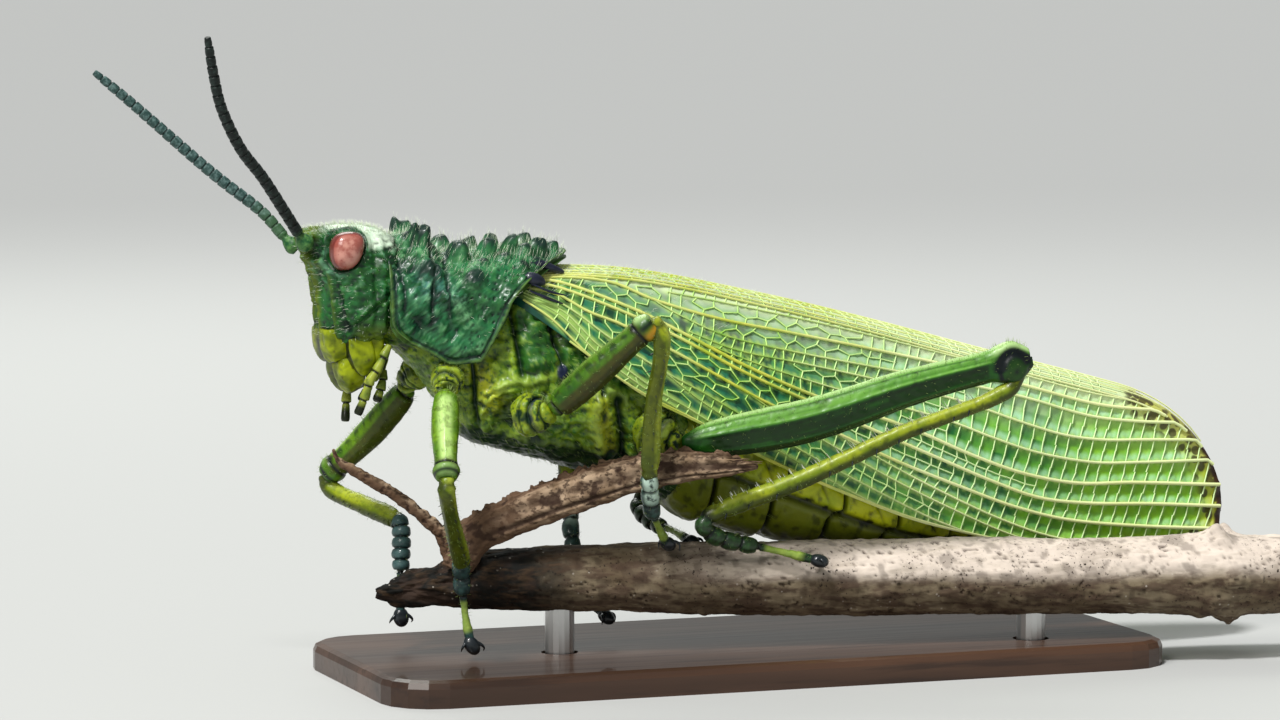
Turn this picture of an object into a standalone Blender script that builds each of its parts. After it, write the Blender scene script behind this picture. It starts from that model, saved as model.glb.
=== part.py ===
# Green milkweed grasshopper (Phymateus viridipes), adult female, gripping a broken twig.
# All tables are in millimetres. The head points to -X, the animal's left side to -Y.
# Heights in the tables start at the twig's axis level, which PERCH_LEVEL lifts over the floor.
import math

import bmesh
import bpy
from mathutils import Matrix, Vector

MM = 0.001
GAP = 0.3                       # between large neighbours
JOINT_GAP = 0.15                # between the segments of a leg or a palp

PERCH_LEVEL = 6.9               # twig axis above the stand's underside
BASE_SIZE = (62.0, 25.0, 2.0)
BASE_CORNER = 4.0
ROD_RADIUS = 1.1
ROD_LET_IN = 1.2                # how far a rod enters the base and the twig

WING_ROOT = Vector((-16.5, 0.0, 22.0))
WING_SLOPE = math.radians(-17.1)
WING_LENGTH = 59.9
WING_THICK = 0.5
APEX_START = 48.5               # where the outline starts to close
APEX_LEVEL = -2.2
CLAVUS_SHARE = 0.24             # share of the width that lies on the back

PRONOTUM_THICK = 0.9
PRONOTUM_AXIS = 21.5
PRONOTUM_REACH = math.radians(130)
LOBE_TUCK = 0.4                 # how much the side lobes turn in below the axis

TWIG_ENDS = (-28.8, 44.5)
UP = Vector((0, 0, 1))


def clear_scene():
    for thing in list(bpy.data.objects):
        bpy.data.objects.remove(thing, do_unlink=True)


def ease(table, where):
    """Smooth reading of a table of (place, value or values)."""
    if where <= table[0][0]:
        return table[0][1]
    for low, high in zip(table, table[1:]):
        if where <= high[0]:
            share = (where - low[0]) / (high[0] - low[0])
            break
    else:
        return table[-1][1]
    before = table[max(table.index(low) - 1, 0)]
    after = table[min(table.index(high) + 1, len(table) - 1)]
    if not isinstance(low[1], tuple):
        return hermite(before, low, high, after, share)
    pick = range(len(low[1]))
    parts = [[(row[0], row[1][k]) for row in (before, low, high, after)] for k in pick]
    return tuple(hermite(*part, share) for part in parts)


def hermite(before, low, high, after, share):
    span = high[0] - low[0]
    leave = (high[1] - before[1]) / (high[0] - before[0]) * span
    enter = (after[1] - low[1]) / (after[0] - low[0]) * span
    s2 = share * share
    s3 = s2 * share
    start = (2 * s3 - 3 * s2 + 1) * low[1] + (s3 - 2 * s2 + share) * leave
    return start + (3 * s2 - 2 * s3) * high[1] + (s3 - s2) * enter


def trace(points, count):
    """Evenly spread points on a smooth curve through the given points."""
    marks = [0.0]
    for a, b in zip(points, points[1:]):
        marks.append(marks[-1] + (Vector(b) - Vector(a)).length)
    table = [(mark, tuple(point)) for mark, point in zip(marks, points)]
    return [Vector(ease(table, marks[-1] * i / (count - 1))) for i in range(count)]


def ring(bm, sides, centre, across, over, size, power=2.0):
    """A rounded loop. size is (half width, reach along over, reach against it)."""
    circle = bmesh.ops.create_circle(bm, segments=sides, radius=1.0)["verts"]
    for vert in circle:
        x, y = vert.co.x, vert.co.y
        x = math.copysign(abs(x) ** (2 / power), x) * size[0]
        y = math.copysign(abs(y) ** (2 / power), y) * (size[1] if y > 0 else size[2])
        vert.co = centre + across * x + over * y
    return circle


def loop_edges(verts):
    chosen = set(verts)
    found = {edge for vert in verts for edge in vert.link_edges}
    return [edge for edge in found if set(edge.verts) <= chosen]


def loft(bm, rings):
    """Skin a chain of rings and close both ends."""
    loops = [loop_edges(verts) for verts in rings]
    for first, second in zip(loops, loops[1:]):
        bmesh.ops.bridge_loops(bm, edges=first + second)
    for end in (loops[0], loops[-1]):
        bmesh.ops.edgeloop_fill(bm, edges=end)
    bmesh.ops.recalc_face_normals(bm, faces=bm.faces[:])


def finish(name, bm, paint, origin=None, helper=False):
    """Turn a mesh in millimetres into a placed object in metres."""
    origin = Vector(origin or (0, 0, 0))
    bmesh.ops.translate(bm, vec=-origin, verts=bm.verts[:])
    bmesh.ops.scale(bm, vec=(MM, MM, MM), verts=bm.verts[:])
    mesh = bpy.data.meshes.new(name)
    bm.to_mesh(mesh)
    bm.free()
    mesh.materials.append(paint)
    mesh.shade_smooth()
    thing = bpy.data.objects.new(name, mesh)
    bpy.context.scene.collection.objects.link(thing)
    thing.location = origin * MM
    thing.hide_render = helper
    if helper:
        thing.display_type = "WIRE"
    return thing


def boolean(target, other, operation):
    step = target.modifiers.new(other.name, "BOOLEAN")
    step.operation = operation
    step.solver = "EXACT"
    step.use_self = operation == "UNION"
    step.object = other


def paint(name, colour, roughness=0.45, metallic=0.0):
    made = bpy.data.materials.new(name)
    made.use_nodes = True
    shader = made.node_tree.nodes["Principled BSDF"]
    shader.inputs["Base Color"].default_value = (*colour, 1.0)
    shader.inputs["Roughness"].default_value = roughness
    shader.inputs["Metallic"].default_value = metallic
    made.diffuse_color = (*colour, 1.0)
    return made


def limb(name, skin, points, sizes, sides=8, stations=9, hint=UP, power=2.0):
    """A tapering piece along a curve. sizes maps the share of its length to (half width, half height)."""
    bm = bmesh.new()
    spine = trace(points, stations)
    rings = []
    for i, centre in enumerate(spine):
        along = spine[min(i + 1, stations - 1)] - spine[max(i - 1, 0)]
        across = along.cross(hint).normalized()
        over = across.cross(along).normalized()
        wide, high = ease(sizes, i / (stations - 1))
        rings.append(ring(bm, sides, centre, across, over, (wide, high, high), power))
    loft(bm, rings)
    return finish(name, bm, skin, points[0])


# ---------------------------------------------------------------- head

HEAD_LEVELS = [                 # height: front, back, half width
    (18.9, (-32.9, -29.9, 3.0)),
    (19.6, (-33.1, -29.5, 3.55)),
    (21.0, (-33.25, -29.2, 3.85)),
    (22.9, (-33.5, -29.1, 3.75)),
    (24.6, (-34.05, -29.1, 3.4)),
    (26.0, (-34.25, -29.05, 2.9)),
    (26.75, (-33.9, -29.3, 2.2)),
    (27.15, (-32.6, -30.2, 1.1)),
]
HEAD_RINGS = (18.9, 19.15, 19.7, 20.8, 22.2, 23.6, 25.0, 26.1, 26.75, 27.05, 27.15)
FACE_TAPER = 0.42               # how much narrower the front of the face is
EYE_CENTRE = (-31.9, 3.15, 25.5)
EYE_SIZE = (1.3, 1.05, 1.45)
SCAPE_RADIUS = 0.72


def make_head(skin, side_tools):
    bm = bmesh.new()
    rings = []
    for level in HEAD_RINGS:
        front, back, half = ease(HEAD_LEVELS, level)
        middle = Vector(((front + back) / 2, 0, level))
        reach = (back - front) / 2
        verts = ring(bm, 16, middle, Vector((0, 1, 0)), Vector((-1, 0, 0)), (half, reach, reach), 2.5)
        for vert in verts:
            ahead = (middle.x - vert.co.x) / reach
            if ahead > 0:
                vert.co.y *= 1 - FACE_TAPER * ahead ** 1.5
            else:
                vert.co.y = math.copysign(half * max(1 - ahead ** 6, 0.0) ** (1 / 6), vert.co.y)
        rings.append(verts)
    loft(bm, rings)
    head = finish("head", bm, skin, (-31, 0, 23))
    for tool in side_tools:
        boolean(head, tool, "DIFFERENCE")


def ball(name, skin, centre, size, helper=False, turn=0.0):
    bm = bmesh.new()
    bmesh.ops.create_uvsphere(bm, u_segments=10, v_segments=7, radius=1.0)
    bmesh.ops.scale(bm, vec=size, verts=bm.verts[:])
    bmesh.ops.rotate(bm, matrix=Matrix.Rotation(turn, 3, "Y"), verts=bm.verts[:])
    bmesh.ops.translate(bm, vec=centre, verts=bm.verts[:])
    return finish(name, bm, skin, centre, helper)


def make_eyes(skin):
    """The two eyes, and the sockets that they leave in the head."""
    sockets = []
    x, y, z = EYE_CENTRE
    grown = [half + JOINT_GAP for half in EYE_SIZE]
    for name, way in (("left", -1), ("right", 1)):
        ball(f"eye_{name}", skin, (x, way * y, z), EYE_SIZE)
        sockets.append(ball(f"socket_{name}", skin, (x, way * y, z), grown, helper=True))
    return sockets


ANTENNA_LEFT = [
    (-34.15, -1.35, 25.7), (-34.9, -1.7, 26.6), (-36.2, -2.6, 28.3), (-38.3, -4.0, 31.0),
    (-40.3, -5.3, 33.2), (-42.0, -6.6, 36.1), (-42.8, -7.5, 38.5), (-43.5, -8.5, 41.2),
]
ANTENNA_RIGHT = [
    (-34.15, 1.35, 25.4), (-34.9, 1.7, 26.1), (-36.5, 2.6, 28.1), (-39.0, 3.6, 30.2),
    (-40.7, 4.3, 31.7), (-43.5, 5.2, 34.3), (-45.9, 5.9, 36.5), (-48.1, 6.5, 38.4),
]
ANTENNA_SIZES = [(0, (0.3, 0.3)), (0.03, (0.66, 0.66)), (0.062, (0.45, 0.45)), (0.1, (0.38, 0.38)),
                 (0.35, (0.4, 0.4)), (0.7, (0.37, 0.37)), (1, (0.27, 0.27))]


def make_antennae(skin):
    """Both antennae, and the pits that their ball joints sit in."""
    pits = []
    for name, route in (("left", ANTENNA_LEFT), ("right", ANTENNA_RIGHT)):
        limb(f"antenna_{name}", skin, route, ANTENNA_SIZES, sides=6, stations=18)
        size = [SCAPE_RADIUS + JOINT_GAP] * 3
        pits.append(ball(f"pit_{name}", skin, route[0], size, helper=True))
    return pits


def make_mouth(skin, palp_skin):
    limb("labrum", skin, [(-32.2, 0, 18.55), (-31.85, 0, 17.2), (-31.25, 0, 15.9), (-30.8, 0, 15.0)],
         [(0, (2.1, 0.6)), (0.35, (2.2, 0.68)), (0.75, (1.8, 0.62)), (1, (1.1, 0.4))],
         sides=12, stations=6, hint=Vector((-1, 0, 0)), power=2.6)
    limb("mandibles", skin, [(-29.95, 0, 18.55), (-29.8, 0, 17.2), (-29.6, 0, 15.6)],
         [(0, (2.5, 1.05)), (0.4, (2.75, 1.15)), (0.8, (2.2, 0.95)), (1, (1.5, 0.6))],
         sides=12, stations=5, hint=Vector((-1, 0, 0)), power=2.6)
    palps = {
        "palp_maxillary_left": [(-28.6, -3.2, 18.6), (-29.2, -3.45, 17.6), (-29.65, -3.4, 16.75),
                                (-30.1, -3.3, 16.05), (-30.4, -3.1, 14.95), (-30.95, -2.9, 13.55)],
        "palp_maxillary_right": [(-28.6, 3.2, 18.6), (-29.3, 3.5, 17.3), (-29.8, 3.1, 15.7),
                                 (-30.2, 2.4, 14.5), (-30.4, 2.0, 13.4), (-30.5, 1.8, 12.6)],
        "palp_labial_left": [(-28.45, -1.3, 16.6), (-28.75, -1.7, 15.5), (-29.2, -1.95, 14.4)],
        "palp_labial_right": [(-28.45, 1.3, 16.6), (-28.75, 1.5, 15.4), (-29.3, 1.6, 14.1)],
    }
    for name, route in palps.items():
        limb(name, palp_skin, route, [(0, (0.3, 0.3)), (0.6, (0.36, 0.36)), (1, (0.26, 0.26))],
             sides=6, stations=7)


# ---------------------------------------------------------------- trunk

TRUNK = [                       # place along X: top, bottom, half width
    (-28.8, (23.6, 18.8, 2.4)),
    (-27.3, (23.9, 18.0, 2.7)),
    (-25.5, (23.9, 16.2, 3.3)),
    (-23.5, (23.7, 13.5, 3.75)),
    (-22.0, (23.7, 11.3, 3.95)),
    (-19.5, (23.7, 10.4, 4.65)),
    (-17.5, (23.2, 9.9, 5.2)),
    (-13.6, (21.9, 8.7, 5.4)),
    (-8.0, (19.4, 6.8, 5.3)),
    (-4.0, (16.6, 4.6, 5.0)),
    (1.9, (13.8, 3.0, 4.7)),
    (9.9, (10.4, 1.5, 4.1)),
    (15.5, (7.6, 1.0, 3.2)),
    (18.4, (5.9, 1.2, 2.2)),
    (19.6, (4.9, 1.5, 1.4)),
]
PROTHORAX_END = -20.6
THORAX_END = -6.2
ABDOMEN_END = 19.6
SEGMENTS = 7
VALVE_SIZES = [(0, (1.0, 0.6)), (0.6, (0.75, 0.5)), (1, (0.3, 0.26))]
TRUNK_SIDES = 16


def trunk_ring(bm, x, swell=0.0, sides=TRUNK_SIDES):
    top, bottom, half = ease(TRUNK, x)
    middle = bottom + (top - bottom) * 0.45
    size = (half + swell, top - middle + swell, middle - bottom + swell)
    return ring(bm, sides, Vector((x, 0, middle)), Vector((0, 1, 0)), UP, size, 2.15)


def trunk_piece(name, skin, start, end, count, swell=None, helper=False):
    bm = bmesh.new()
    rings = []
    for i in range(count):
        share = i / (count - 1)
        rings.append(trunk_ring(bm, start + (end - start) * share, swell(share) if swell else 0.0))
    loft(bm, rings)
    return finish(name, bm, skin, ((start + end) / 2, 0, 12), helper)


def belly_swell(share):
    """Each abdominal segment bulges a little and tucks in at its rear edge."""
    place = (share * SEGMENTS) % 1.0 if share < 1 else 1.0
    return 0.2 * math.sin(math.pi * place) - 0.08


def make_trunk(thorax_skin, belly_skin):
    half_gap = GAP / 2
    trunk_piece("prothorax", thorax_skin, TRUNK[0][0], PROTHORAX_END - half_gap, 6)
    trunk_piece("pterothorax", thorax_skin, PROTHORAX_END + half_gap, THORAX_END - half_gap, 10)
    trunk_piece("abdomen", belly_skin, THORAX_END + half_gap, ABDOMEN_END, 2 * SEGMENTS + 1, belly_swell)
    for name, z, drop in (("upper", 4.0, 0.7), ("lower", 2.35, -0.35)):
        route = [(19.9, 0, z), (21.0, 0, z - 0.35), (22.2, 0, z - 0.35 + drop)]
        limb(f"ovipositor_{name}", belly_skin, route, VALVE_SIZES, sides=8, stations=5)


# ---------------------------------------------------------------- pronotum

PRONOTUM = [                    # place along X: crown height, half width, reach below the axis
    (-28.8, (5.05, 4.4, 3.6)),
    (-27.2, (5.1, 4.7, 4.2)),
    (-25.2, (5.0, 4.8, 5.8)),
    (-24.5, (4.1, 4.75, 6.5)),
    (-23.8, (3.75, 4.95, 6.6)),
    (-21.8, (4.0, 5.4, 6.3)),
    (-19.3, (4.1, 5.5, 6.0)),
    (-16.5, (4.05, 5.2, 5.5)),
    (-13.9, (3.7, 4.4, 5.0)),
]
FRONT_EDGE = [(0, -28.45), (45, -28.75), (100, -28.8), (118, -28.4), (130, -27.2)]
REAR_EDGE = [(0, -14.0), (20, -14.5), (45, -16.6), (74, -19.0), (100, -20.5), (130, -22.1)]
TUBERCLES = [                   # place along X, angle from the crown, height, base radius
    (-27.6, 24, 0.95, 0.42), (-26.6, 24, 1.25, 0.5), (-25.3, 27, 1.15, 0.7), (-23.0, 27, 1.3, 0.6),
    (-20.8, 26, 1.2, 0.6), (-19.1, 24, 1.25, 0.5), (-17.9, 26, 0.8, 0.45), (-16.6, 22, 1.0, 0.5),
    (-15.3, 14, 0.65, 0.42), (-24.9, 62, 0.6, 0.55), (-22.6, 60, 0.6, 0.55),
]


def pronotum_point(x, angle):
    crown, half, low = ease(PRONOTUM, x)
    rise = crown if abs(angle) < math.pi / 2 else low
    flat = math.copysign(abs(math.cos(angle)) ** 0.92, math.cos(angle))
    side = math.sin(angle)
    if rise == low:
        side = math.copysign(1 - LOBE_TUCK * (1 - abs(side)), side)
    return Vector((x, half * side, PRONOTUM_AXIS + rise * flat))


def pronotum_spike(bm, x, angle, height, radius):
    foot = pronotum_point(x, angle)
    outward = Vector((0, foot.y, (foot.z - PRONOTUM_AXIS) * 1.6)).normalized()
    lean = (outward + Vector((-0.25, 0, 0))).normalized()
    turn = UP.rotation_difference(lean).to_matrix().to_4x4()
    place = Matrix.Translation(foot + lean * (height / 2 - 0.25)) @ turn
    bmesh.ops.create_cone(bm, cap_ends=True, segments=6, radius1=radius, radius2=0.16,
                          depth=height + 0.5, matrix=place)


def make_pronotum(skin):
    bm = bmesh.new()
    bmesh.ops.create_grid(bm, x_segments=16, y_segments=9, size=1.0)
    for vert in bm.verts:
        angle = vert.co.x * PRONOTUM_REACH
        degrees = abs(math.degrees(angle))
        front = ease(FRONT_EDGE, degrees)
        rear = ease(REAR_EDGE, degrees)
        vert.co = pronotum_point(front + (rear - front) * (vert.co.y + 1) / 2, angle)
    thicken(bm, PRONOTUM_THICK, Vector((-22, 0, PRONOTUM_AXIS)))
    shell = finish("pronotum", bm, skin, (-22, 0, PRONOTUM_AXIS))
    spikes = bmesh.new()
    for x, degrees, height, radius in TUBERCLES:
        for way in (-1, 1):
            pronotum_spike(spikes, x, way * math.radians(degrees), height, radius)
    boolean(shell, finish("tubercles", spikes, skin, helper=True), "UNION")


def thicken(bm, thickness, inside):
    """Give an open sheet a thickness on the side where the point inside is."""
    bmesh.ops.recalc_face_normals(bm, faces=bm.faces[:])
    facing = sum((face.calc_center_median() - inside).dot(face.normal) for face in bm.faces)
    if facing < 0:
        bmesh.ops.reverse_faces(bm, faces=bm.faces[:])
    bm.normal_update()
    bmesh.ops.solidify(bm, geom=bm.faces[:], thickness=thickness)
    bmesh.ops.recalc_face_normals(bm, faces=bm.faces[:])


# ---------------------------------------------------------------- wings

WING_TOP = [(0, 1.75), (7, 3.45), (16.5, 4.45), (26, 5.05), (36, 5.4), (49, 5.9), (60, 6.0)]
WING_LOW = [(0, -2.0), (8, -5.1), (13, -6.0), (19, -7.2), (28, -8.2), (34, -8.5), (48, -7.7), (60, -7.3)]
WING_RIDGE = [(0, 3.2), (10, 3.2), (25, 2.6), (40, 1.8), (50, 1.2), (60, 0.75)]
WING_SKIRT = [(0, 5.3), (8, 6.5), (20, 6.3), (30, 5.4), (40, 4.1), (50, 2.7), (60, 1.3)]
WING_STATIONS = 16
WING_STRIPS = 6


def wing_edge(table, along):
    edge = ease(table, along)
    if along > APEX_START:
        closing = min((along - APEX_START) / (WING_LENGTH - APEX_START), 1.0)
        edge = APEX_LEVEL + (edge - APEX_LEVEL) * (1 - closing ** 2.1) ** (1 / 2.1)
    return edge


def wing_point(along, share, way):
    """share runs from the inner margin on the back to the lower margin."""
    top = wing_edge(WING_TOP, along)
    low = wing_edge(WING_LOW, along)
    ridge = ease(WING_RIDGE, along)
    skirt = ease(WING_SKIRT, along)
    if share < CLAVUS_SHARE:
        turn = share / CLAVUS_SHARE
        out = 0.45 + (ridge - 0.45) * math.sin(turn * math.pi / 2)
        over = top - (top - low) * 0.06 * (1 - math.cos(turn * math.pi / 2))
    else:
        turn = (share - CLAVUS_SHARE) / (1 - CLAVUS_SHARE)
        out = ridge + (skirt - ridge) * math.sin(turn * math.pi / 2)
        over = low + (top - low) * 0.94 * (1 - turn)
    x = along * math.cos(WING_SLOPE) - over * math.sin(WING_SLOPE)
    z = along * math.sin(WING_SLOPE) + over * math.cos(WING_SLOPE)
    return WING_ROOT + Vector((x, way * out, z))


def make_wing(name, skin, way):
    bm = bmesh.new()
    bmesh.ops.create_grid(bm, x_segments=WING_STATIONS, y_segments=WING_STRIPS, size=1.0)
    for vert in bm.verts:
        run = (vert.co.x + 1) / 2
        along = WING_LENGTH * 0.999 * math.sin(run ** 0.8 * math.pi / 2)
        vert.co = wing_point(along, (vert.co.y + 1) / 2, way)
    thicken(bm, WING_THICK, Vector((10, 0, 10)))
    finish(name, bm, skin, WING_ROOT)


# ---------------------------------------------------------------- legs

LEGS = {
    "left_front": {
        "coxa": [(-24.1, -3.2, 16.3), (-24.75, -4.7, 15.6)],
        "femur": [(-24.95, -5.3, 15.15), (-25.9, -8.0, 12.2), (-26.5, -10.2, 9.4)],
        "tibia": [(-26.5, -10.3, 8.3), (-25.2, -7.7, 5.5), (-23.7, -4.9, 2.8)],
        "tarsus": [(-23.4, -4.1, 1.7), (-23.05, -3.4, -0.5), (-22.75, -3.5, -2.7), (-22.5, -3.7, -3.8)],
    },
    "right_front": {
        "coxa": [(-24.1, 3.2, 16.3), (-24.7, 4.7, 15.3)],
        "femur": [(-24.5, 5.1, 14.6), (-26.8, 7.8, 11.0), (-29.5, 10.4, 7.6)],
        "tibia": [(-29.15, 10.1, 6.6), (-27.6, 7.3, 5.7), (-26.0, 4.4, 4.9)],
        "tarsus": [(-25.65, 3.8, 4.5), (-25.85, 3.1, 1.9), (-26.0, 2.9, -0.8), (-25.95, 2.8, -2.4)],
    },
    "left_middle": {
        "coxa": [(-18.9, -4.5, 13.3), (-17.9, -6.1, 13.4)],
        "femur": [(-17.3, -6.9, 13.7), (-14.0, -9.0, 17.2), (-10.9, -10.8, 20.4)],
        "tibia": [(-10.3, -11.0, 18.95), (-10.7, -10.4, 14.6), (-10.8, -9.8, 9.5)],
        "tarsus": [(-10.65, -9.4, 8.5), (-9.8, -7.7, 6.1), (-8.3, -5.9, 3.9), (-7.7, -5.3, 3.3)],
    },
    "right_middle": {
        "coxa": [(-18.9, 4.5, 13.3), (-17.9, 6.1, 13.4)],
        "femur": [(-17.3, 6.9, 13.7), (-14.0, 9.0, 17.2), (-10.9, 10.8, 20.4)],
        "tibia": [(-10.3, 11.1, 18.95), (-11.1, 8.3, 13.2), (-11.8, 5.6, 6.9)],
        "tarsus": [(-11.9, 4.8, 5.9), (-12.5, 2.4, 2.6), (-11.8, 1.4, -1.2), (-10.7, -0.1, -2.7)],
    },
    "left_hind": {
        "coxa": [(-9.4, -4.3, 11.9), (-8.0, -6.0, 11.2)],
        "femur": [(-7.2, -6.9, 10.9), (1.9, -8.9, 12.5), (10.0, -10.4, 15.0), (18.8, -11.6, 17.0)],
        "tibia": [(16.9, -11.6, 14.5), (9.0, -10.3, 11.5), (1.6, -8.9, 8.2), (-5.3, -7.6, 5.6)],
        "tarsus": [(-5.75, -7.5, 4.9), (-4.4, -7.0, 3.9), (-1.0, -7.0, 3.0), (3.3, -8.1, 1.9)],
    },
    "right_hind": {
        "coxa": [(-9.4, 4.3, 11.9), (-8.0, 6.0, 11.2)],
        "femur": [(-7.2, 6.9, 10.9), (1.9, 8.9, 12.5), (10.0, 10.4, 15.0), (18.8, 11.6, 17.0)],
        "tibia": [(16.9, 11.6, 14.5), (9.0, 10.3, 11.5), (1.6, 8.9, 8.2), (-5.3, 7.3, 5.3)],
        "tarsus": [(-5.65, 6.7, 4.6), (-5.2, 4.6, 3.7), (-4.5, 2.3, 3.3), (-3.9, -0.2, 2.7)],
    },
}
FRONT_FEMUR = [(0, (0.6, 0.65)), (0.1, (0.92, 1.0)), (0.45, (1.02, 1.12)), (0.8, (0.82, 0.88)),
               (0.92, (0.95, 1.08)), (1, (0.55, 0.6))]
HIND_FEMUR = [(0, (0.6, 0.7)), (0.06, (0.9, 1.15)), (0.25, (1.0, 1.5)), (0.5, (0.95, 1.4)),
              (0.8, (0.75, 1.1)), (0.87, (0.75, 1.15)), (0.95, (0.9, 1.62)), (1, (0.55, 0.9))]
TIBIA = [(0, (0.5, 0.5)), (0.08, (0.62, 0.66)), (0.3, (0.5, 0.58)), (0.9, (0.5, 0.55)), (1, (0.45, 0.45))]
HIND_TIBIA = [(0, (0.45, 0.5)), (0.05, (0.55, 0.6)), (0.2, (0.5, 0.55)), (0.9, (0.6, 0.7)),
              (1, (0.45, 0.5))]
TARSUS = [(0, (0.4, 0.4)), (0.12, (0.6, 0.6)), (0.28, (0.56, 0.56)), (0.4, (0.62, 0.6)),
          (0.52, (0.38, 0.38)), (0.8, (0.34, 0.34)), (0.88, (0.65, 0.55)), (0.97, (0.65, 0.5)),
          (1, (0.3, 0.28))]
COXA_SIZE = {"front": 1.2, "middle": 1.55, "hind": 1.9}


def make_leg(name, route, skins, body_tool):
    pair = name.split("_")[1]
    stout = COXA_SIZE[pair]
    coxa = limb(f"coxa_{name}", skins["coxa"], route["coxa"],
                [(0, (stout, stout)), (0.5, (stout, stout)), (1, (stout * 0.6, stout * 0.6))],
                sides=8, stations=5)
    boolean(coxa, body_tool, "DIFFERENCE")
    hind = pair == "hind"
    limb(f"femur_{name}", skins["femur"], route["femur"], HIND_FEMUR if hind else FRONT_FEMUR,
         sides=10 if hind else 8, stations=15 if hind else 11)
    limb(f"tibia_{name}", skins["tibia"], route["tibia"], HIND_TIBIA if hind else TIBIA,
         sides=6, stations=8, hint=Vector((0.3, 0, 1)))
    limb(f"tarsus_{name}", skins["tarsus"], route["tarsus"], TARSUS,
         sides=6, stations=14, hint=Vector((0.6, 0.2, 1)))


# ---------------------------------------------------------------- perch and stand

TWIG = [                        # place along X: axis height, radius
    (-28.8, (0.0, 0.4)),
    (-28.0, (0.1, 0.75)),
    (-26.0, (0.25, 1.3)),
    (-24.5, (0.4, 1.5)),
    (-23.0, (0.6, 1.75)),
    (-20.5, (0.72, 2.2)),
    (-16.0, (0.65, 2.42)),
    (-9.0, (0.55, 2.62)),
    (4.0, (0.2, 2.75)),
    (18.5, (-0.1, 2.9)),
    (30.0, (-0.3, 2.95)),
    (35.6, (-0.35, 3.3)),
    (38.5, (-0.5, 3.05)),
    (44.5, (-0.55, 3.0)),
]
SPLINTER = [
    (-23.2, -1.9, 1.6), (-21.6, -2.5, 4.3), (-19.5, -3.5, 5.5), (-16.9, -4.5, 6.7),
    (-14.0, -5.8, 7.8), (-11.1, -6.9, 8.8), (-7.3, -8.7, 9.5), (-2.4, -10.1, 9.4),
]
SPLINTER_SIZES = [(0, (0.9, 1.1)), (0.3, (0.8, 1.4)), (0.6, (0.7, 1.3)), (0.85, (0.45, 0.9)),
                  (1, (0.26, 0.3))]
SLIVER = [
    (-22.7, 0.5, 1.6), (-23.5, 0.45, 4.0), (-24.8, 0.5, 5.3), (-26.6, 0.7, 6.8),
    (-28.1, 0.9, 7.8), (-29.9, 1.2, 8.9), (-31.1, 1.5, 9.7), (-31.5, 1.6, 10.6),
]
SLIVER_SIZES = [(0, (0.5, 0.5)), (0.5, (0.42, 0.5)), (1, (0.26, 0.27))]
TWIG_DRIFT = -0.152             # sideways run of the twig along X
TWIG_SIDE = -4.0
BARK_ROUGH = 0.05               # unevenness as a share of the radius
ROD_PLACES = {"front": -15.0, "rear": 21.0}


def twig_centre(x):
    return Vector((x, TWIG_SIDE + TWIG_DRIFT * x, ease(TWIG, x)[0]))


def twig_solid(name, skin, swell=0.0, helper=False):
    bm = bmesh.new()
    rings = []
    start, end = TWIG_ENDS
    count = 24
    for i in range(count):
        x = start + (end - start) * (i / (count - 1)) ** 1.25
        across = Vector((-TWIG_DRIFT, 1, 0)).normalized()
        radius = ease(TWIG, x)[1] + swell
        verts = ring(bm, 12, twig_centre(x), across, UP, (radius, radius, radius))
        for turn, vert in enumerate(verts):
            rough = BARK_ROUGH * radius * math.sin(2.1 * x + 2.4 * turn) * (0.0 if swell else 1.0)
            vert.co += (vert.co - twig_centre(x)).normalized() * rough
        rings.append(verts)
    loft(bm, rings)
    return finish(name, bm, skin, twig_centre(0), helper)


def make_perch(skin):
    twig = twig_solid("perch_twig", skin)
    around = twig_solid("twig_room", skin, swell=GAP, helper=True)
    splinter = limb("perch_splinter", skin, SPLINTER, SPLINTER_SIZES, sides=8, stations=14)
    sliver = limb("perch_sliver", skin, SLIVER, SLIVER_SIZES, sides=7, stations=11, hint=Vector((0.7, 0, 1)))
    for piece in (splinter, sliver):
        boolean(piece, around, "DIFFERENCE")
    return twig


def rod_mesh(name, paint_of, centre, low, high, radius, helper=False):
    bm = bmesh.new()
    middle = Matrix.Translation((centre.x, centre.y, (low + high) / 2))
    bmesh.ops.create_cone(bm, cap_ends=True, segments=16, radius1=radius, radius2=radius,
                          depth=high - low, matrix=middle)
    return finish(name, bm, paint_of, (centre.x, centre.y, low), helper)


def make_stand(base_skin, rod_skin, twig):
    length, width, height = BASE_SIZE
    bm = bmesh.new()
    bmesh.ops.create_cube(bm, size=1.0, matrix=Matrix.Diagonal((length, width, height, 1)))
    upright = [edge for edge in bm.edges if abs(edge.verts[0].co.z - edge.verts[1].co.z) > 0.1]
    bmesh.ops.bevel(bm, geom=upright, offset=BASE_CORNER, segments=4, affect="EDGES", profile=0.5)
    rim = [edge for edge in bm.edges if min(v.co.z for v in edge.verts) > height * 0.49]
    bmesh.ops.bevel(bm, geom=rim, offset=0.6, segments=2, affect="EDGES", profile=0.5)
    floor = -PERCH_LEVEL
    bmesh.ops.translate(bm, vec=(0, 0, floor + height / 2), verts=bm.verts[:])
    base = finish("stand_base", bm, base_skin, (0, 0, floor))
    for name, x in ROD_PLACES.items():
        centre = twig_centre(x)
        low = floor + height - ROD_LET_IN
        high = centre.z - ease(TWIG, x)[1] + ROD_LET_IN
        rod_mesh(f"stand_rod_{name}", rod_skin, centre, low, high, ROD_RADIUS)
        room = rod_mesh(f"rod_room_{name}", rod_skin, centre, low - GAP, high + GAP,
                        ROD_RADIUS + GAP, helper=True)
        boolean(base, room, "DIFFERENCE")
        boolean(twig, room, "DIFFERENCE")


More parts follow.
